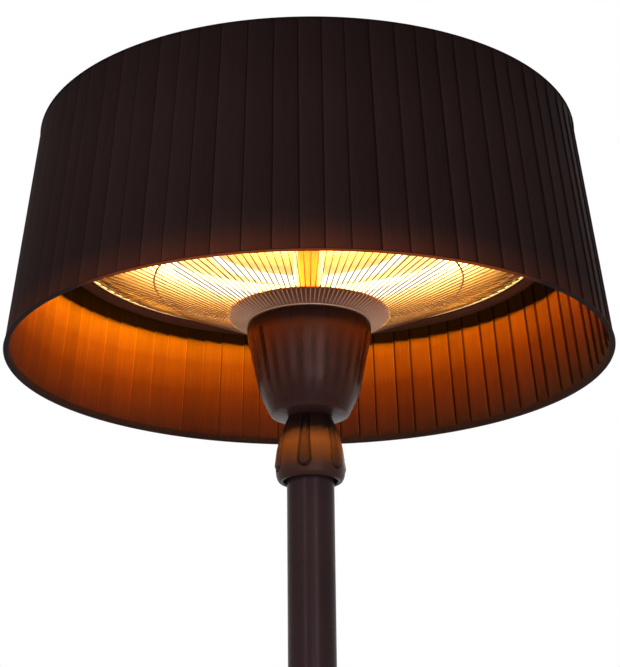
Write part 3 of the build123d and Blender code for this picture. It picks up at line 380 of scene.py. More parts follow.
def colour_stops(tree, factor, stops):
    """Colours over a factor, each at its place from 0 to 1."""
    node = add_node(tree, "ShaderNodeValToRGB", {"Fac": factor})
    elements = node.color_ramp.elements
    for stop, colour in stops[1:-1]:
        elements.new(stop).color = (*colour, 1.0)
    for element, (stop, colour) in ((elements[0], stops[0]), (elements[-1], stops[-1])):
        element.position = stop
        element.color = (*colour, 1.0)
    return node.outputs["Color"]


def ramp(tree, factor, low, high, start=0.3, end=0.7):
    """Two colours spread over a factor."""
    return colour_stops(tree, factor, ((start, low), (end, high)))


def vary_roughness(tree, shader, noise, low, high):
    """A roughness that follows the noise from low to high."""
    tree.links.new(spread(tree, noise, low, high), shader.inputs["Roughness"])


def relief(tree, shader, height, distance, strength):
    """A bump of that depth in metres on the shader."""
    inputs = {"Height": height, "Distance": distance, "Strength": strength}
    bump = add_node(tree, "ShaderNodeBump", inputs)
    tree.links.new(bump.outputs["Normal"], shader.inputs["Normal"])


def finish(slot):
    """The finish made for a slot of the record."""
    return bpy.data.materials[f"finish {slot}"]


def shade_of(colour, factor):
    """The colour, lighter or darker by a factor."""
    return tuple(min(1.0, channel * factor) for channel in colour)


def by_height(tree, height, stops):
    """A colour for each height over the rim."""
    low, high = stops[0][0], stops[-1][0]
    share = share_of(tree, height, RIM + low, RIM + high)
    return colour_stops(tree, share, [((rise - low) / (high - low), tint) for rise, tint in stops])


def multiplied(tree, colour, other):
    """Two colours multiplied, through a Mix node's sockets for colours."""
    node = tree.nodes.new("ShaderNodeMix")
    node.data_type = "RGBA"
    node.blend_type = "MULTIPLY"
    node.inputs[0].default_value = 1.0
    tree.links.new(colour, node.inputs[6])
    tree.links.new(other, node.inputs[7])
    return node.outputs[2]


def tone_and_light_colour(tree):
    """The tone and the painted light and shade set on the piece's own points."""
    node = tree.nodes.new("ShaderNodeAttribute")
    node.attribute_name = "tone_and_light"
    return node.outputs["Color"]


def mix_out(tree, output, share, base, other):
    """Sends the base shader to an output, with the other in its place by a share."""
    mix = add_node(tree, "ShaderNodeMixShader", {"Fac": share, 1: base, 2: other})
    tree.links.new(mix.outputs["Shader"], tree.nodes[output].inputs["Surface"])


def cloth_material(name, stops, roughness, sheen, lean=0.0):
    """Woven cloth with upright slubs, on the piece's own UV map in metres.

    It has a colour for each height, and the heights lean by a share of the way to the right.
    """
    material, tree, shader = new_material(name, stops[-1][1], roughness)
    slubs = grain(tree, place(tree, "UV", (900.0, 26.0, 1.0)), 1.0, 4.0, 0.6)
    threads = place(tree, "UV", (0.35, 1.0, 1.0))
    inputs = {"Vector": threads, "Scale": 260.0, "Distortion": 1.4, "Detail": 2.0}
    weave = add_node(tree, "ShaderNodeTexWave", inputs)
    inputs = {0: along_axis(tree, "Object", "X"), 1: lean, 2: along_axis(tree, "UV", "Y")}
    height = add_node(tree, "ShaderNodeMath", inputs, "MULTIPLY_ADD").outputs["Value"]
    slub_tint = ramp(tree, slubs, (0.8, 0.8, 0.8), (1.0, 1.0, 1.0))
    tinted = multiplied(tree, by_height(tree, height, stops), slub_tint)
    tree.links.new(multiplied(tree, tinted, tone_and_light_colour(tree)), shader.inputs["Base Color"])
    both = add_node(tree, "ShaderNodeMath", {0: slubs, 1: weave.outputs["Fac"]}, "ADD")
    relief(tree, shader, both.outputs["Value"], 0.00008, 0.6)
    shader.inputs["Sheen Weight"].default_value = sheen
    shader.inputs["Sheen Roughness"].default_value = 0.4
    shader.inputs["Sheen Tint"].default_value = (0.55, 0.34, 0.3, 1.0)
    shader.inputs["Specular IOR Level"].default_value = 0.03
    shader.inputs["Specular Tint"].default_value = (1.0, 0.65, 0.6, 1.0)
    return material


def coat_material(
    name,
    colour,
    roughness,
    peel=0.00001,
    specular=0.25,
    tint=(1.0, 0.62, 0.54),
    stops=None,
    streaks=None,
):
    """A baked or moulded coat: tinted sheen, uneven gloss, orange peel or upright flow marks."""
    _, tree, shader = new_material(name, colour, roughness)
    vector = place(tree, "Object")
    clouds = grain(tree, vector, 9.0, 2.0)
    if stops:
        clouds = ramp(tree, clouds, (0.86, 0.86, 0.86), (1.12, 1.12, 1.12))
        height = along_axis(tree, "Object", "Z")
        tinted = multiplied(tree, by_height(tree, height, stops), clouds)
        tinted = multiplied(tree, tinted, tone_and_light_colour(tree))
    else:
        tinted = ramp(tree, clouds, shade_of(colour, 0.86), shade_of(colour, 1.12))
    tree.links.new(tinted, shader.inputs["Base Color"])
    gloss = grain(tree, place(tree, "Object", streaks or (60.0, 60.0, 60.0)), 1.0)
    vary_roughness(tree, shader, gloss, roughness * 0.8, roughness * 1.25)
    relief(tree, shader, gloss if streaks else grain(tree, vector, 420.0, 2.0), peel, 0.5)
    shader.inputs["IOR"].default_value = 1.35
    shader.inputs["Specular IOR Level"].default_value = specular
    shader.inputs["Specular Tint"].default_value = (*tint, 1.0)


def metal_material(name, colour, roughness, marks=(1.0, 1.0, 1.0), scale=300.0, metallic=1.0):
    """Bare metal with fine marks along its length."""
    _, tree, shader = new_material(name, colour, roughness, metallic)
    fine = grain(tree, place(tree, "Object", marks), scale, 4.0, 0.6)
    tint = grain(tree, place(tree, "Object"), 14.0, 2.0)
    tint = ramp(tree, tint, shade_of(colour, 0.82), shade_of(colour, 1.08))
    tree.links.new(tint, shader.inputs["Base Color"])
    vary_roughness(tree, shader, fine, roughness * 0.7, roughness * 1.35)
    relief(tree, shader, fine, 0.00002, 0.5)


def plate_material(name, colour, light, roughness):
    """Brushed plate with painted light, lighter away from the front, and browned at its rim."""
    _, tree, shader = new_material(name, colour, roughness, 0.3)
    back = share_of(tree, along_axis(tree, "Object", "Y"), -0.07, -0.035)
    rim = share_of(tree, from_middle(tree), 0.066, 0.0805)
    browned = ramp(tree, rim, (1.0, 1.0, 1.0), (1.0, 0.5, 0.12), 0.0, 1.0)
    even = ramp(tree, back, colour, light, 0.0, 1.0)
    tree.links.new(multiplied(tree, even, browned), shader.inputs["Base Color"])
    fine = grain(tree, place(tree, "Object"), 300.0, 4.0, 0.6)
    vary_roughness(tree, shader, fine, roughness * 0.7, roughness * 1.35)


def banded_metal(name, stops, roughness, metallic):
    """Metal with a colour for each distance from the tower's axis: painted reflections and painted
    light in bands.
    """
    _, tree, shader = new_material(name, stops[0][1], roughness, metallic)
    widest = stops[-1][0]
    share = share_of(tree, from_middle(tree), 0.0, widest)
    painted_light_bands = colour_stops(tree, share, [(radius / widest, tint) for radius, tint in stops])
    clouds = grain(tree, place(tree, "Object"), 14.0, 2.0)
    clouds = ramp(tree, clouds, (0.9, 0.9, 0.9), (1.05, 1.05, 1.05))
    tree.links.new(multiplied(tree, clouds, painted_light_bands), shader.inputs["Base Color"])


def lamp_material(name, colour, strength):
    """A hot quartz tube, shown less bright than the light it throws."""
    _, tree, shader = new_material(name, (0.9, 0.82, 0.7), 0.15)
    turns = grain(tree, place(tree, "Object"), 90.0, 2.0)
    thrown = spread(tree, turns, strength * 0.85, strength * 1.15)
    tree.links.new(thrown, shader.inputs["Emission Strength"])
    shader.inputs["Emission Color"].default_value = (*colour, 1.0)
    shown = spread(tree, turns, TUBE_STRENGTH * 0.9, TUBE_STRENGTH * 1.1)
    inputs = {"Color": (*TUBE_COLOUR, 1.0), "Strength": shown}
    tube = add_node(tree, "ShaderNodeEmission", inputs).outputs["Emission"]
    seen = tree.nodes.new("ShaderNodeLightPath").outputs["Is Camera Ray"]
    mix_out(tree, "Material Output", seen, shader.outputs["BSDF"], tube)


def speckled_material(name, colour, roughness, scale, depth):
    """Rubber, cast stone and the like: a grainy skin."""
    _, tree, shader = new_material(name, colour, roughness)
    specks = grain(tree, place(tree, "Object"), scale, 5.0, 0.7)
    tint = ramp(tree, specks, shade_of(colour, 0.7), shade_of(colour, 1.25))
    tree.links.new(tint, shader.inputs["Base Color"])
    vary_roughness(tree, shader, specks, roughness * 0.9, min(1.0, roughness * 1.1))
    relief(tree, shader, specks, depth, 0.7)


# ---------------------------------------------------------------- making meshes
def clear_selection():
    """Nothing selected, in object mode."""
    if bpy.context.object and bpy.context.object.mode != "OBJECT":
        bpy.ops.object.mode_set(mode="OBJECT")
    bpy.ops.object.select_all(action="DESELECT")


def settle(piece, name, body, material, smooth):
    """Finishes a piece: its place in its mesh, smooth shading, material and body."""
    clear_selection()
    piece.select_set(True)
    bpy.context.view_layer.objects.active = piece
    bpy.ops.object.transform_apply(location=True, rotation=True, scale=True)
    bpy.ops.object.shade_smooth_by_angle(angle=radians(smooth))
    piece.name = name
    piece.data.name = name
    if material:
        piece.data.materials.clear()
        piece.data.materials.append(material)
    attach(piece, body)


def edit_all():
    """The active piece in edit mode with everything selected."""
    bpy.ops.object.mode_set(mode="EDIT")
    bpy.ops.mesh.select_all(action="SELECT")


def merge_doubles():
    """Merges vertices that lie on each other, in edit mode."""
    bpy.ops.mesh.select_all(action="SELECT")
    bpy.ops.mesh.remove_doubles(threshold=0.000001)


def face_outwards():
    """Merges doubles and turns every face outward, in edit mode."""
    merge_doubles()
    bpy.ops.mesh.normals_make_consistent(inside=False)


def to_origin():
    """Leaves edit mode and puts the active piece's place in its mesh."""
    bpy.ops.object.mode_set(mode="OBJECT")
    bpy.ops.object.transform_apply(location=True)


def new_tone_and_light(piece):
    """The colours in which tone, painted glow and painted light and shade are set on a piece's
    points.
    """
    return piece.data.color_attributes.new(name="tone_and_light", type="FLOAT_COLOR", domain="POINT")


def drawn_ring(profile, sides):
    """A ring at the profile's first point, extruded and resized from point to point."""
    clear_selection()
    radius, height = profile[0]
    bpy.ops.mesh.primitive_circle_add(
        vertices=sides, radius=radius, fill_type="NOTHING", location=(0, 0, height)
    )
    edit_all()
    for (near, low), (far, high) in zip(profile, profile[1:]):
        bpy.ops.mesh.extrude_region_move(TRANSFORM_OT_translate={"value": (0, 0, high - low)})
        bpy.ops.transform.resize(value=(far / near, far / near, 1), center_override=(0, 0, high))
    return bpy.context.object


def bridge_ends():
    """Joins a drawn ring's last loop to its first, in edit mode."""
    bpy.ops.mesh.select_all(action="DESELECT")
    bpy.ops.mesh.select_non_manifold()
    bpy.ops.mesh.bridge_edge_loops()


def turned(profile, sides):
    """A closed ring turned from a profile whose last point is joined to its first."""
    piece = drawn_ring(profile, sides)
    bridge_ends()
    face_outwards()
    to_origin()
    return piece


def smooth_line(points, steps):
    """A curve through points of radius and height, with that many steps between two of them."""
    line = []
    last = len(points) - 1
    for index in range(last):
        numbers = (min(max(index + shift, 0), last) for shift in (-1, 0, 1, 2))
        before, start, end, after = (Vector(points[number]) for number in numbers)
        leaving, arriving = (end - before) / 2, (after - start) / 2
        for step in range(steps):
            t = step / steps
            near = start * (2 * t**3 - 3 * t**2 + 1) + leaving * (t**3 - 2 * t**2 + t)
            line.append(tuple(near + end * (3 * t**2 - 2 * t**3) + arriving * (t**3 - t**2)))
    return line + [tuple(points[-1])]


def over_rim(points):
    """Points of radius and height over the rim as points of radius and height."""
    return [(radius, RIM + height) for radius, height in points]


def combine(piece, tool, operation="DIFFERENCE"):
    """Cuts the tool away from the piece, or joins it on, and removes the tool."""
    clear_selection()
    piece.select_set(True)
    bpy.context.view_layer.objects.active = piece
    step = piece.modifiers.new("combine", "BOOLEAN")
    step.operation = operation
    step.solver = "EXACT"
    step.object = tool
    bpy.ops.object.modifier_apply(modifier=step.name)
    bpy.data.objects.remove(tool)


def around(azimuth, radius, height):
    """The point at an azimuth from the front, a radius from the axis and a height."""
    return Vector((radius * sin(azimuth), -radius * cos(azimuth), height))


def clamped(value):
    """The value, kept from 0 to 1."""
    return min(1.0, max(0.0, value))


def shade_radius(height):
    """Outside radius of the shade at a height."""
    share = (height - RIM) / (SHADE_TOP - RIM)
    return RIM_RADIUS + (TOP_RADIUS - RIM_RADIUS) * share


def fold_shift(fold, pleats, height_share):
    """How far a fold stands off the even spacing, in shares of a pleat."""
    front = (fold + len(FRONT_FOLDS) // 2 + pleats) % pleats
    if front < len(FRONT_FOLDS):
        shift = FRONT_FOLDS[front]
    else:
        # The other folds stray a little, each in its own way
        shift = 0.1 * sin(fold * 2.4) + 0.05 * sin(fold * 5.1)
    return shift * (1.0 - 0.35 * height_share) + 0.03 * sin(fold * 1.7) * height_share


def pleated(height, turn, inset, sizes, inside):
    """The point of the pleated cloth or its lining at a height and a numbered edge."""
    pleat, edge = divmod(turn, len(PLEAT_EDGES))
    along, sunk, lined = PLEAT_EDGES[edge]
    share = (height - RIM) / (SHADE_TOP - RIM)
    here = fold_shift(pleat % sizes.pleats, sizes.pleats, share)
    after = fold_shift((pleat + 1) % sizes.pleats, sizes.pleats, share)
    place_along = pleat + along + here + (after - here) * along
    azimuth = sizes.first_fold + place_along * tau / sizes.pleats
    vary = 1.0 + 0.08 * sin(pleat * 3.3) - 0.08 * share
    radius = shade_radius(height) - inset
    if inside:
        from_hems = min(height - RIM - PRESSED_LOW, SHADE_TOP - height - PRESSED_TOP)
        free = clamped(from_hems / PRESSED_FADE)
        step = sizes.hemmed_depth + (sizes.lining_depth - sizes.hemmed_depth) * free * (2.0 - free)
        radius -= sizes.pleat_depth + sizes.cloth + (1.0 - lined) * step * vary
    else:
        free = min(1.0, 0.15 + (SHADE_TOP - height) / TOP_FADE)
        radius -= sunk * sizes.pleat_depth * vary * free
    return around(azimuth, radius, height)


def unwrap_upright(piece, fit):
    """A UV map in metres: along the rim and up the side."""
    layer = piece.data.uv_layers.active or piece.data.uv_layers.new()
    layer.name = "cloth"
    for polygon in piece.data.polygons:
        middle = atan2(polygon.center.x, -polygon.center.y)
        for loop in polygon.loop_indices:
            co = piece.data.vertices[piece.data.loops[loop].vertex_index].co
            turn = atan2(co.x, -co.y)
            if turn - middle > pi:
                turn -= tau
            if middle - turn > pi:
                turn += tau
            layer.data[loop].uv = (turn * fit, co.z)


# ---------------------------------------------------------------- pieces
class HEATER_OT_shade_cloth(bpy.types.Operator):
    """Folds the shade's cloth into knife pleats, with its lining"""

    bl_idname = "heater.shade_cloth"
    bl_label = "Pleated cloth"

    def execute(self, context):
        sizes, colours = context.scene.heater_sizes, context.scene.heater_colours
        low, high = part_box("shade_cover")
        inset = shade_radius(low.z) - high.x
        heights = [low.z + rise for rise in CLOTH_RISES] + [high.z]
        thick = sizes.pleat_depth + sizes.cloth + sizes.lining_depth
        outside = [(shade_radius(height), height) for height in heights]
        within = [(radius - thick, height) for radius, height in reversed(outside)]
        cloth = drawn_ring(outside + within, sizes.pleats * len(PLEAT_EDGES))
        bridge_ends()
        to_origin()
        for polygon in cloth.data.polygons:
            inside = polygon.center.xy.length < shade_radius(polygon.center.z) - thick * 0.8
            polygon.material_index = int(inside)
        self.fold(cloth, low.z, inset, thick, sizes)
        edit_all()
        bpy.ops.mesh.normals_make_consistent(inside=False)
        bpy.ops.object.mode_set(mode="OBJECT")
        unwrap_upright(cloth, RIM_RADIUS)
        cloth.data.materials.append(finish("shade_cloth"))
        # The lamps' glow painted on the lining, brightest just below the pan and darker towards the
        # rim
        stops = (
            (0.0, colours.lining_glow_rim),
            (0.03, colours.lining_glow_low),
            (0.06, colours.lining_glow_mid),
            (0.092, colours.lining),
            (0.115, colours.lining_glow_top),
        )
        # Its painted glow is also a little brighter on the left
        cloth.data.materials.append(cloth_material("shade lining", stops, 0.6, 0.02, -0.05))
        settle(cloth, "pleated_cloth", "head", None, 25.0)
        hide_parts("shade_cover")
        hems = [hem("lower_binding", "hem_below"), hem("upper_binding", "hem_above")]
        return {"FINISHED"}

    def fold(self, cloth, low, inset, thick, sizes):
        """Moves each point to its place on a fold, and paints its tone, its painted glow and its
        painted light and shade.
        """
        sides = sizes.pleats * len(PLEAT_EDGES)
        tone_and_light = new_tone_and_light(cloth)
        for vertex in cloth.data.vertices:
            turn = round(atan2(vertex.co.x, -vertex.co.y) / tau * sides) % sides
            inside = vertex.co.xy.length < shade_radius(vertex.co.z) - thick / 2
            pleat, edge = divmod(turn, len(PLEAT_EDGES))
            # No two pleats are quite alike in tone
            uneven = 1.0 + 0.07 * sin(pleat * 2.3) + 0.05 * sin(pleat * 5.7)
            # Painted highlight on the folds' edges and painted shade in their tucks, times each
            # pleat's tone
            shade = PLEAT_PAINTED_LIGHT[edge][int(inside)] * uneven
            height = vertex.co.z
            # The pan's painted shadow on the lining: its edge rises along each pleat, and above it
            # the colour is darkened
            if inside and abs(height - low - PAN_SHADE) < 0.002:
                height += PAN_SHADE_RISE * (PLEAT_EDGES[edge][0] - 0.5)
            if inside and vertex.co.z > low + PAN_SHADE:
                shade *= PAN_SHADE_LEFT
            # A painted glow of the lamps on the outside near the rim, strongest at the front
            front = max(0.0, -vertex.co.y / RIM_RADIUS) ** 6
            painted_glow = 0.0 if inside else max(0.0, 1.0 - (height - low) / RIM_GLOW) * front
            tint = (1.0 + painted_glow, 1.0 + 0.6 * painted_glow, 1.0 + 0.3 * painted_glow)
            tone_and_light.data[vertex.index].color = (*(shade * channel for channel in tint), 1.0)
            vertex.co = pleated(height, turn, inset, sizes, inside)


def hem(node, name):
    """A folded tape over an edge of the shade, replacing its solid."""
    low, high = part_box(node)
    below = node == "lower_binding"
    edge, back = (low.z, high.z) if below else (high.z, low.z)
    sign = 1 if below else -1
    outer_edge, outer_back = shade_radius(edge), shade_radius(back)
    # The tape comes to the edge outside, turns over it in two small rounds and goes back inside
    outer_turn = edge + sign * 0.0014
    profile = [
        (shade_radius(outer_turn), outer_turn),
        (outer_edge, edge + sign * 0.0008),
        (outer_edge - 0.0006, edge + sign * 0.0001),
        (outer_edge - HEM_DEPTH / 2, edge),
        (outer_edge - HEM_DEPTH + 0.0006, edge + sign * 0.0001),
        (outer_edge - HEM_DEPTH, edge + sign * 0.0008),
        (outer_back - HEM_DEPTH, back),
    ]
    tape = drawn_ring(profile, 480)
    face_outwards()
    to_origin()
    unwrap_upright(tape, RIM_RADIUS)
    tone_and_light = new_tone_and_light(tape)
    for vertex in tape.data.vertices:
        # A painted glow of the lamps on the lower hem's edge at the front
        lit = below and vertex.co.z < edge + 0.0005
        painted_glow = clamped((-vertex.co.y / RIM_RADIUS - 0.72) / 0.13) if lit else 0.0
        tone_and_light.data[vertex.index].color = (1.0 + 17.0 * painted_glow, 1.0 + 5.0 * painted_glow, 1.0, 1.0)
    wall = tape.modifiers.new("wall", "SOLIDIFY")
    wall.thickness = HEM_CLOTH
    wall.offset = -1.0
    bpy.ops.object.modifier_apply(modifier=wall.name)
    settle(tape, name, "head", finish("binding_cloth"), 35.0)
    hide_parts(node)
    return tape


class HEATER_OT_wire_guard(bpy.types.Operator):
    """Welds the guard of round wires on its three rings"""

    bl_idname = "heater.wire_guard"
    bl_label = "Wire guard"

    def execute(self, context):
        sizes = context.scene.heater_sizes
        start, end = (around(sizes.wire_turn, wide, RIM + rise) for wide, rise in WIRE_ENDS)
        way = end - start
        clear_selection()
        bpy.ops.mesh.primitive_cylinder_add(
            vertices=8,
            radius=sizes.wire_width / 2,
            depth=way.length,
            location=(start + end) / 2,
            rotation=way.to_track_quat("Z", "Y").to_euler(),
        )
        guard = bpy.context.object
        bpy.ops.object.transform_apply(location=True, rotation=True)
        edit_all()
        bpy.ops.mesh.spin(
            steps=sizes.wires, angle=tau, dupli=True, center=(0, 0, 0), axis=(0, 0, 1)
        )
        merge_doubles()
        bpy.ops.object.mode_set(mode="OBJECT")
        guard.data.materials.append(finish("guard_steel"))
        welded = [guard]
        slope = way.z / way.xy.length
        for radius, thick, rise, material in GUARD_RINGS:
            clear_selection()
            height = RIM + RING_LINE[1] + (radius - RING_LINE[0]) * slope + rise
            bpy.ops.mesh.primitive_torus_add(
                major_radius=radius,
                minor_radius=thick / 2,
                major_segments=216,
                minor_segments=10,
                location=(0, 0, height),
            )
            ring = bpy.context.object
            ring.data.materials.append(bpy.data.materials[material])
            welded.append(ring)
        clear_selection()
        for part in welded:
            part.select_set(True)
        bpy.context.view_layer.objects.active = guard
        bpy.ops.object.join()
        settle(guard, "round_wire_guard", "head", None, 60.0)
        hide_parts("wire_guard")
        return {"FINISHED"}


class HEATER_OT_ring_lamps(bpy.types.Operator):
    """Bends the two glowing ring lamps"""

    bl_idname = "heater.ring_lamps"
    bl_label = "Ring lamps"

    def execute(self, context):
        sizes = context.scene.heater_sizes
        for node, radius, rise in RING_LAMPS:
            gap = LAMP_GAP / radius
            clear_selection()
            bpy.ops.mesh.primitive_circle_add(
                vertices=20,
                radius=sizes.lamp_width / 2,
                fill_type="NGON",
                location=around(pi - gap, radius, RIM + rise),
                rotation=(pi / 2, 0, pi - gap),
            )
            lamp = bpy.context.object
            bpy.ops.object.transform_apply(location=True, rotation=True)
            edit_all()
            bpy.ops.mesh.spin(steps=140, angle=tau - 2 * gap, center=(0, 0, 0), axis=(0, 0, 1))
            face_outwards()
            bpy.ops.object.mode_set(mode="OBJECT")
            settle(lamp, node + "_tube", "head", finish("lamp_quartz"), 50.0)
            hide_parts(node)
        return {"FINISHED"}


class HEATER_OT_moulded_cup(bpy.types.Operator):
    """Turns the moulded cup, with its screw slots and its pad for the switches"""

    bl_idname = "heater.moulded_cup"
    bl_label = "Moulded cup"

    def execute(self, context):
        side = ((0.0619, 0.035), (0.0609, 0.023), (0.0564, 0.0016), (0.0496, -0.03))
        profile = [(0.0193, 0.0379), (0.061, 0.0379), (0.0617, 0.0372)]
        profile += smooth_line((*side, (0.0389, -0.0532)), 7)
        profile += [(0.0383, -0.0542), (0.0372, -0.0548), (0.0213, -0.057), (0.0193, -0.057)]
        cup = turned(over_rim(profile), 192)
        for azimuth in SCREW_AZIMUTHS:
            for tool in (self.slot(azimuth), self.screw_well(azimuth)):
                combine(cup, tool)
        combine(cup, self.switch_block(*SWITCH_PAD), "UNION")
        combine(cup, self.switch_block(*SWITCH_HOLE))
        tone_and_light = new_tone_and_light(cup)
        for vertex in cup.data.vertices:
            # Painted glow of the lamps at both sides, with painted upright highlight streaks that
            # fade out above and below
            side_glow = min(1.0, abs(vertex.co.x) / 0.058) ** 2
            turn = atan2(vertex.co.x, -vertex.co.y)
            free = max(0.0, 1.0 - ((vertex.co.z - RIM + 0.012) / 0.032) ** 2)
            streak_highlight = sin(26.0 * turn + 2.93) * (0.75 + 0.35 * sin(7.0 * turn + 1.0)) * free
            tone_and_light.data[vertex.index].color = (
                (1.0 + 1.15 * side_glow) * (1.0 + 0.48 * streak_highlight),
                (1.0 + 0.2 * side_glow) * (1.0 + 0.6 * streak_highlight),
                (1.2 - 0.95 * side_glow) * (1.0 + 0.72 * streak_highlight),
                1.0,
            )
        settle(cup, "moulded_cup", "head", finish("gloss_brown"), 32.0)
        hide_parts("cup_housing")
        return {"FINISHED"}

    def slot(self, azimuth):
        """The upright slot in the cup's side, with a round top."""
        clear_selection()
        bpy.ops.mesh.primitive_cylinder_add(
            vertices=32,
            radius=SLOT_RADIUS,
            depth=0.0134,
            location=around(azimuth, 0.0593, RIM + SLOT_TOP),
            rotation=(pi / 2, 0, azimuth),
        )
        tool = bpy.context.object
        bpy.ops.object.transform_apply(location=True, rotation=True)
        bpy.ops.object.mode_set(mode="EDIT")
        bpy.ops.mesh.select_mode(type="VERT")
        bpy.ops.mesh.select_all(action="DESELECT")
        bpy.ops.object.mode_set(mode="OBJECT")
        for vertex in tool.data.vertices:
            vertex.select = vertex.co.z < RIM + SLOT_TOP - 0.0001
        bpy.ops.object.mode_set(mode="EDIT")
        bpy.ops.transform.translate(value=(0, 0, -0.1))
        bpy.ops.object.mode_set(mode="OBJECT")
        return tool

    def screw_well(self, azimuth):
        """The round well of a screw behind the slot."""
        clear_selection()
        bpy.ops.mesh.primitive_cylinder_add(
            vertices=32,
            radius=SLOT_RADIUS,
            depth=0.1,
            location=around(azimuth, 0.0526, RIM - 0.027),
        )
        return bpy.context.object

    def switch_block(self, width, height, depth, shift):
        """A block behind the face that the switches sit on."""
        azimuth, lean = SWITCH_AZIMUTH, SWITCH_LEAN
        across = Vector((cos(azimuth), sin(azimuth), 0.0))
        outward = Vector((sin(azimuth) * cos(lean), -cos(azimuth) * cos(lean), -sin(lean)))
        turn = Matrix((across, outward.cross(across), outward)).transposed()
        clear_selection()
        bpy.ops.mesh.primitive_cube_add(
            size=1.0,
            location=around(azimuth, 0.0576, RIM + 0.002) + outward * shift,
            rotation=turn.to_euler(),
            scale=(width, height, depth),
        )
        return bpy.context.object


class HEATER_OT_tongued_collar(bpy.types.Operator):
    """Turns the locking collar and raises its tongues out of their grooves"""

    bl_idname = "heater.tongued_collar"
    bl_label = "Tongued collar"

    def execute(self, context):
        sizes = context.scene.heater_sizes
        side = ((0.0213, -0.0573), (0.0277, -0.0735), (0.032, -0.0903), (0.0339, -0.1076))
        heel = ((0.0339, -0.1076), (0.0336, -0.1135), (0.0325, -0.1184), (0.0308, -0.1212))
        profile = smooth_line(side, 20) + smooth_line(heel, 8)[1:]
        profile += [(0.0299, -0.1218), (0.0276, -0.1218), (0.0267, -0.1211), (0.0266, -0.0865)]
        profile += [(0.0228, -0.0845), (0.022, -0.066), (0.0206, -0.0605), (0.0206, -0.0573)]
        collar = turned(over_rim(profile), 432)
        tone_and_light = new_tone_and_light(collar)
        for vertex in collar.data.vertices:
            drop = RIM - vertex.co.z
            radius = vertex.co.xy.length
            shade = 1.0
            outside = radius > 0.0212 + (drop - COLLAR_TOP) * 0.2
            if drop < GROOVE_END and outside:
                turn = atan2(vertex.co.x, -vertex.co.y) - sizes.tongue_turn
                turn -= round(turn / tau * sizes.tongues) * tau / sizes.tongues
                lift = self.lift(radius * sin(turn), drop, sizes)
                vertex.co.xy *= 1.0 + lift / radius
                # Painted shade in the grooves, and less painted shade on the tongues
                shade -= 0.65 * clamped(-lift / sizes.tongue_groove)
                shade -= 0.38 * clamped(lift / 0.0006)
            tone_and_light.data[vertex.index].color = (shade, shade, shade, 1.0)
        settle(
            collar,
            "tongued_collar",
            "collar",
            bpy.data.materials["collar gloss"],
            50.0,
        )
        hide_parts("lock_collar")
        return {"FINISHED"}

    def lift(self, across, drop, sizes):
        """How far the skin stands out beside a tongue's middle line, at a drop below the rim."""
        share = min(1.0, (drop - COLLAR_TOP) / (TONGUE_END - COLLAR_TOP))
        if drop < TONGUE_END:
            inside = TONGUE_HALF + TONGUE_FLARE * share - abs(across)
        else:
            inside = TONGUE_END_RADIUS - Vector((across, drop - TONGUE_END)).length
        if inside > 0.0:
            edge = min(1.0, inside / TONGUE_ROUND)
            return sizes.tongue_rise * (0.4 + 0.6 * share) * edge * (2.0 - edge)
        return -sizes.tongue_groove * sin(pi * min(1.0, -inside / GROOVE_WIDTH))


class HEATER_OT_turned_shells(bpy.types.Operator):
    """Turns the reflector, the pan over it and the two covers at the foot"""

    bl_idname = "heater.turned_shells"
    bl_label = "Turned shells"

    def execute(self, context):
        flare = ((0.2376, 0.1215), (0.2194, 0.128), (0.2049, 0.1408), (0.1962, 0.1568))
        bowl = [*smooth_line(flare, 8), (0.1945, 0.158)]
        bowl += [(0.0113, 0.158), (0.0113, 0.1572), (0.194, 0.1572)]
        flare = ((0.1954, 0.1565), (0.2042, 0.1403), (0.219, 0.1273), (0.2372, 0.1207))
        self.shell("reflector", "bell_reflector", bowl + smooth_line(flare, 8), 360, "head")
        rim = [(0.2429, 0.1195), (0.2432, 0.1189), (0.249, 0.1136), (0.2505, 0.1132)]
        rim += [(0.2519, 0.1139), (0.2523, 0.1155)]
        edge = ((0.2523, 0.15), (0.2505, 0.1578), (0.2469, 0.1642), (0.2378, 0.1739), (0.226, 0.18))
        inner = [(0.0113, 0.18), (0.0113, 0.1788), (0.2257, 0.1788), (0.2371, 0.1729)]
        inner += [(0.2459, 0.1635), (0.2511, 0.1517), (0.2511, 0.1152), (0.25, 0.1148)]
        pan = [*rim, *smooth_line(edge, 6), *inner, (0.2436, 0.1201)]
        self.shell("housing_pan", "rolled_pan", pan, 288, "head")
        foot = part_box("base_cover")
        wide, low, high = foot[1].x, foot[0].z - RIM, foot[1].z - RIM
        bend, hole, wall = 0.012, 0.012, 0.0015
        turns = [step * pi / 16 for step in range(9)]
        across, up = wide - bend, high - bend
        shoulder = [(across + bend * cos(turn), up + bend * sin(turn)) for turn in turns]
        under = [(radius - wall, height - wall) for radius, height in reversed(shoulder)]
        cover = [(wide, low), *shoulder, (hole, high), (hole, high - wall)]
        cover += [*under, (wide - wall, low)]
        self.shell("base_cover", "round_base_cover", cover, 240, "stand")
        low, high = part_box("foot_cover")[0].z - RIM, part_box("foot_cover")[1].z - RIM
        dome = ((0.064, low + 0.007), (0.0523, low + 0.0165), (0.0393, low + 0.0243))
        bell = [(0.062, low), (0.064, low), *smooth_line((*dome, (0.0253, high)), 6)]
        bell += [(0.0233, high), (0.0233, high - 0.002)]
        bell += [(0.0439, low + 0.0192), (0.062, low + 0.006)]
        self.shell("foot_cover", "domed_foot_cover", bell, 144, "stand")
        return {"FINISHED"}

    def shell(self, node, name, profile, sides, body):
        """A smooth shell in a node's place."""
        piece = turned(over_rim(profile), sides)
        subparts = {subpart["node"]: subpart for subpart in frame["record"]["subparts"]}
        slot = subparts[node]["material_slot"]
        settle(piece, name, body, finish(slot), 30.0)
        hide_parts(node)


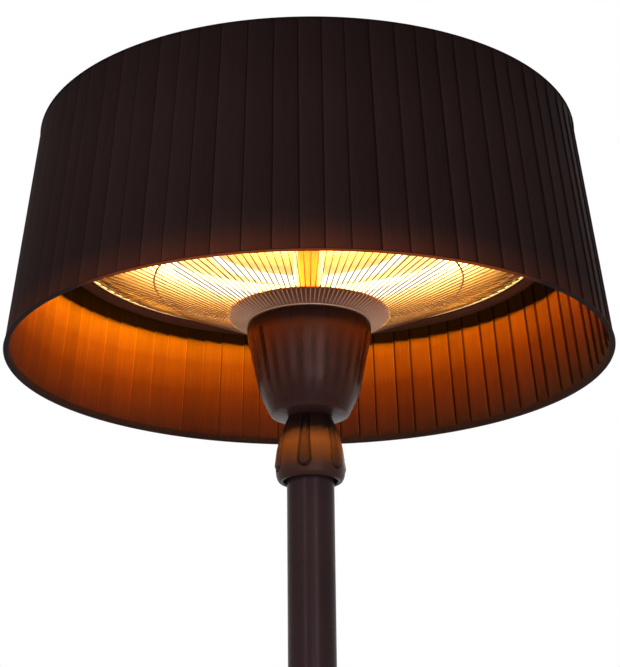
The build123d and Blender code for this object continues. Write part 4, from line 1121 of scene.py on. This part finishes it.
class HEATER_OT_finishes(bpy.types.Operator):
    """Makes the finishes and gives each CAD node its own"""

    bl_idname = "heater.finishes"
    bl_label = "Finishes"

    def execute(self, context):
        colours = context.scene.heater_colours
        speckled_material("finish rubber", (0.018, 0.018, 0.018), 0.8, 500.0, 0.0001)
        metal_material("finish base_steel", (0.30, 0.30, 0.31), 0.45)
        speckled_material("finish ballast", (0.32, 0.31, 0.29), 0.9, 160.0, 0.0006)
        coat_material("finish pole_coat", colours.coat, 0.3, specular=0.1, tint=(1.0, 0.85, 0.95))
        coat_material("finish pan_coat", (0.022, 0.0078, 0.0058), 0.5, specular=0.08)
        metal_material("finish zinc_steel", (0.3, 0.3, 0.31), 0.4)
        # The cup's colour by height is painted light and shade: a lighter underside, the lamps'
        # painted glow near the guard, and darker towards its top
        cup_stops = (
            (-0.058, shade_of(colours.gloss, 1.3)),
            (-0.05, shade_of(colours.gloss, 0.8)),
            (-0.03, shade_of(colours.gloss, 0.9)),
            (-0.005, shade_of(colours.gloss, 1.2)),
            (0.014, shade_of(colours.gloss_glow, 1.2)),
            (0.022, shade_of(colours.gloss_glow, 1.35)),
            (0.029, shade_of(colours.gloss, 0.85)),
            (0.038, shade_of(colours.gloss, 0.7)),
        )
        coat_material(
            "finish gloss_brown",
            colours.gloss,
            0.3,
            peel=0.0009,
            specular=0.16,
            stops=cup_stops,
            streaks=(170.0, 170.0, 3.0),
        )
        # The collar's colour by height is painted light and shade: a lighter foot, the lamps'
        # painted glow between the tongues, and darker under the cup
        collar_stops = (
            (-0.122, shade_of(colours.gloss, 1.1)),
            (-0.112, shade_of(colours.gloss, 1.5)),
            (-0.1, shade_of(colours.collar_glow, 0.6)),
            (-0.086, colours.collar_glow),
            (-0.079, shade_of(colours.collar_glow, 0.6)),
            (-0.073, shade_of(colours.gloss, 0.5)),
            (-0.057, shade_of(colours.gloss, 0.35)),
        )
        coat_material("collar gloss", colours.gloss, 0.38, specular=0.16, stops=collar_stops)
        coat_material("finish black_plastic", (0.014, 0.013, 0.013), 0.5, peel=0.00008)
        coat_material("finish rocker_black", (0.012, 0.012, 0.012), 0.25)
        metal_material("finish cast_alloy", (0.45, 0.45, 0.46), 0.55, scale=200.0)
        speckled_material("finish white_ceramic", (0.75, 0.72, 0.66), 0.45, 300.0, 0.00004)
        plate_material("finish plate_grey", (0.14, 0.052, 0.028), (0.46, 0.21, 0.165), 0.42)
        # The wires' painted light: lighter where they cross the plate and towards the bead, dark
        # between
        wire_stops = (
            (0.0, (0.42, 0.24, 0.18)),
            (0.08, (0.5, 0.28, 0.16)),
            (0.082, (0.1, 0.045, 0.015)),
            (0.14, (0.12, 0.055, 0.018)),
            (0.19, (0.3, 0.16, 0.05)),
            (0.2375, (0.36, 0.21, 0.07)),
        )
        banded_metal("finish guard_steel", wire_stops, 0.45, 0.5)
        # The bead's pale gold is a painted glint of the lamps
        metal_material("guard bead glint", (0.98, 0.8, 0.5), 0.5, metallic=0.3)
        # The reflector's painted reflections: the lamps' light in the bright bands and the dark pan
        # in the dark ones
        reflector_stops = (
            (0.0, (0.55, 0.3, 0.12)),
            (0.12, (0.66, 0.42, 0.18)),
            (0.165, (0.98, 0.9, 0.62)),
            (0.2, (1.0, 0.98, 0.8)),
            (0.214, (0.7, 0.46, 0.14)),
            (0.2245, (0.22, 0.1, 0.018)),
            (0.2285, (0.1, 0.035, 0.004)),
            (0.2305, (0.7, 0.45, 0.14)),
            (0.2325, (0.09, 0.03, 0.003)),
            (0.2355, (0.1, 0.035, 0.004)),
            (0.2375, (0.98, 0.9, 0.6)),
        )
        banded_metal("finish reflector_alloy", reflector_stops, 0.34, 0.6)
        lamp_material("finish lamp_quartz", colours.glow, colours.glow_strength)
        metal_material("finish stem_chrome", (0.32, 0.09, 0.012), 0.45, marks=(1.0, 1.0, 0.05))
        # The outside's painted glow of the lamps near the rim, and darker towards the top
        cloth_stops = (
            (0.0, colours.cloth_rim_glow),
            (0.03, colours.cloth),
            (0.15, colours.cloth),
            (0.234, shade_of(colours.cloth, 0.7)),
        )
        cloth_material("finish shade_cloth", cloth_stops, 0.85, 0.008)
        hem_stops = ((0.0, shade_of(colours.cloth, 1.2)), (0.03, colours.cloth))
        cloth_material("finish binding_cloth", hem_stops, 0.7, 0.02)
        for subpart in frame["record"]["subparts"]:
            mesh = nodes[subpart["node"]].data
            mesh.materials.clear()
            mesh.materials.append(finish(subpart["material_slot"]))
        return {"FINISHED"}


# ---------------------------------------------------------------- stage
def seen_white(tree):
    """1 for the rays of the camera, of mirrors and of glass."""
    path = tree.nodes.new("ShaderNodeLightPath")
    total = path.outputs["Is Camera Ray"]
    for kind in ("Is Glossy Ray", "Is Transmission Ray"):
        node = add_node(tree, "ShaderNodeMath", {0: total, 1: path.outputs[kind]}, "ADD")
        node.use_clamp = True
        total = node.outputs["Value"]
    return total


class HEATER_OT_studio(bpy.types.Operator):
    """Sets the floor, the lights, the white surround and the camera"""

    bl_idname = "heater.studio"
    bl_label = "Studio"

    def execute(self, context):
        clear_selection()
        bpy.ops.mesh.primitive_plane_add(size=60.0)
        floor = bpy.context.object
        floor.name = "floor"
        material, tree, shader = new_material("pale floor", (0.8, 0.8, 0.79), 0.7)
        specks = grain(tree, place(tree, "Object"), 3.0)
        specks = ramp(tree, specks, (0.78, 0.78, 0.77), (0.82, 0.82, 0.81))
        tree.links.new(specks, shader.inputs["Base Color"])
        # The floor keeps the shadow near the foot and turns white away from it
        whiter = share_of(tree, from_middle(tree), 0.8, 3.6, least=0.4)
        whiter.node.interpolation_type = "SMOOTHSTEP"
        share = add_node(tree, "ShaderNodeMath", {0: seen_white(tree), 1: whiter}, "MULTIPLY")
        pale = add_node(tree, "ShaderNodeEmission", {"Color": WHITE}).outputs["Emission"]
        mix_out(tree, "Material Output", share.outputs["Value"], shader.outputs["BSDF"], pale)
        floor.data.materials.append(material)
        self.surround(context)
        self.lights(context)
        self.camera(context)
        context.scene.view_settings.view_transform = "Standard"
        return {"FINISHED"}

    def surround(self, context):
        """Soft even light from the world, which cameras, mirrors and glass see as white."""
        world = bpy.data.worlds.new("studio surround")
        world.use_nodes = True
        context.scene.world = world
        tree = world.node_tree
        soft = tree.nodes["Background"]
        soft.inputs["Color"].default_value = (1.0, 0.98, 0.97, 1.0)
        soft.inputs["Strength"].default_value = 0.32
        white = add_node(tree, "ShaderNodeBackground", {"Color": WHITE}).outputs["Background"]
        mix_out(tree, "World Output", seen_white(tree), soft.outputs["Background"], white)

    def lights(self, context):
        """Three tall soft boxes near the camera, one light above and one behind."""
        for name, azimuth, distance, height, size, power in LIGHTS:
            data = bpy.data.lights.new(name, "AREA")
            data.shape = "RECTANGLE"
            data.size, data.size_y = size
            data.energy = power
            light = bpy.data.objects.new(name, data)
            context.scene.collection.objects.link(light)
            light.location = around(radians(azimuth), distance, height)
            toward = Vector(LIT_POINT) - light.location
            light.rotation_euler = toward.to_track_quat("-Z", "Y").to_euler()

    def camera(self, context):
        """The photograph's camera: low in front, looking up at the head."""
        pitch, yaw, roll = CAMERA_PITCH, CAMERA_YAW, CAMERA_ROLL
        forward = Vector((sin(yaw) * cos(pitch), cos(yaw) * cos(pitch), sin(pitch)))
        right = Vector((cos(yaw), -sin(yaw), 0.0))
        up = right.cross(forward)
        across = cos(roll) * right + sin(roll) * up
        upright = -sin(roll) * right + cos(roll) * up
        data = bpy.data.cameras.new("photo camera")
        data.sensor_width = CAMERA_SENSOR
        data.lens = CAMERA_LENS
        data.dof.use_dof = False
        camera = bpy.data.objects.new("photo camera", data)
        context.scene.collection.objects.link(camera)
        turn = Matrix((across, upright, -forward)).transposed().to_4x4()
        camera.matrix_world = Matrix.Translation(CAMERA_PLACE) @ turn
        context.scene.camera = camera


# ---------------------------------------------------------------- panel and register
PIECES = (
    HEATER_OT_finishes,
    HEATER_OT_shade_cloth,
    HEATER_OT_wire_guard,
    HEATER_OT_ring_lamps,
    HEATER_OT_moulded_cup,
    HEATER_OT_tongued_collar,
    HEATER_OT_turned_shells,
    HEATER_OT_studio,
)


class HEATER_PT_panel(bpy.types.Panel):
    """Lists the heater's pieces"""

    bl_idname = "HEATER_PT_panel"
    bl_label = "Patio heater"
    bl_space_type = "VIEW_3D"
    bl_region_type = "UI"
    bl_category = "Heater"

    def draw(self, context):
        for piece in PIECES:
            self.layout.operator(piece.bl_idname)
        for group in (context.scene.heater_sizes, context.scene.heater_colours):
            for name in group.__annotations__:
                self.layout.prop(group, name)


CLASSES = (HeaterSizes, HeaterColours, *PIECES, HEATER_PT_panel)


def register():
    """Registers the classes and the scene's sizes and colours."""
    for cls in CLASSES:
        bpy.utils.register_class(cls)
    bpy.types.Scene.heater_sizes = PointerProperty(type=HeaterSizes)
    bpy.types.Scene.heater_colours = PointerProperty(type=HeaterColours)


def unregister():
    """Takes them out again."""
    del bpy.types.Scene.heater_colours
    del bpy.types.Scene.heater_sizes
    for cls in reversed(CLASSES):
        bpy.utils.unregister_class(cls)


def main():
    """Makes every piece in order."""
    register()
    bpy.ops.heater.finishes()
    bpy.ops.heater.shade_cloth()
    bpy.ops.heater.wire_guard()
    bpy.ops.heater.ring_lamps()
    bpy.ops.heater.moulded_cup()
    bpy.ops.heater.tongued_collar()
    bpy.ops.heater.turned_shells()
    bpy.ops.heater.studio()


if __name__ == "__main__":
    main()
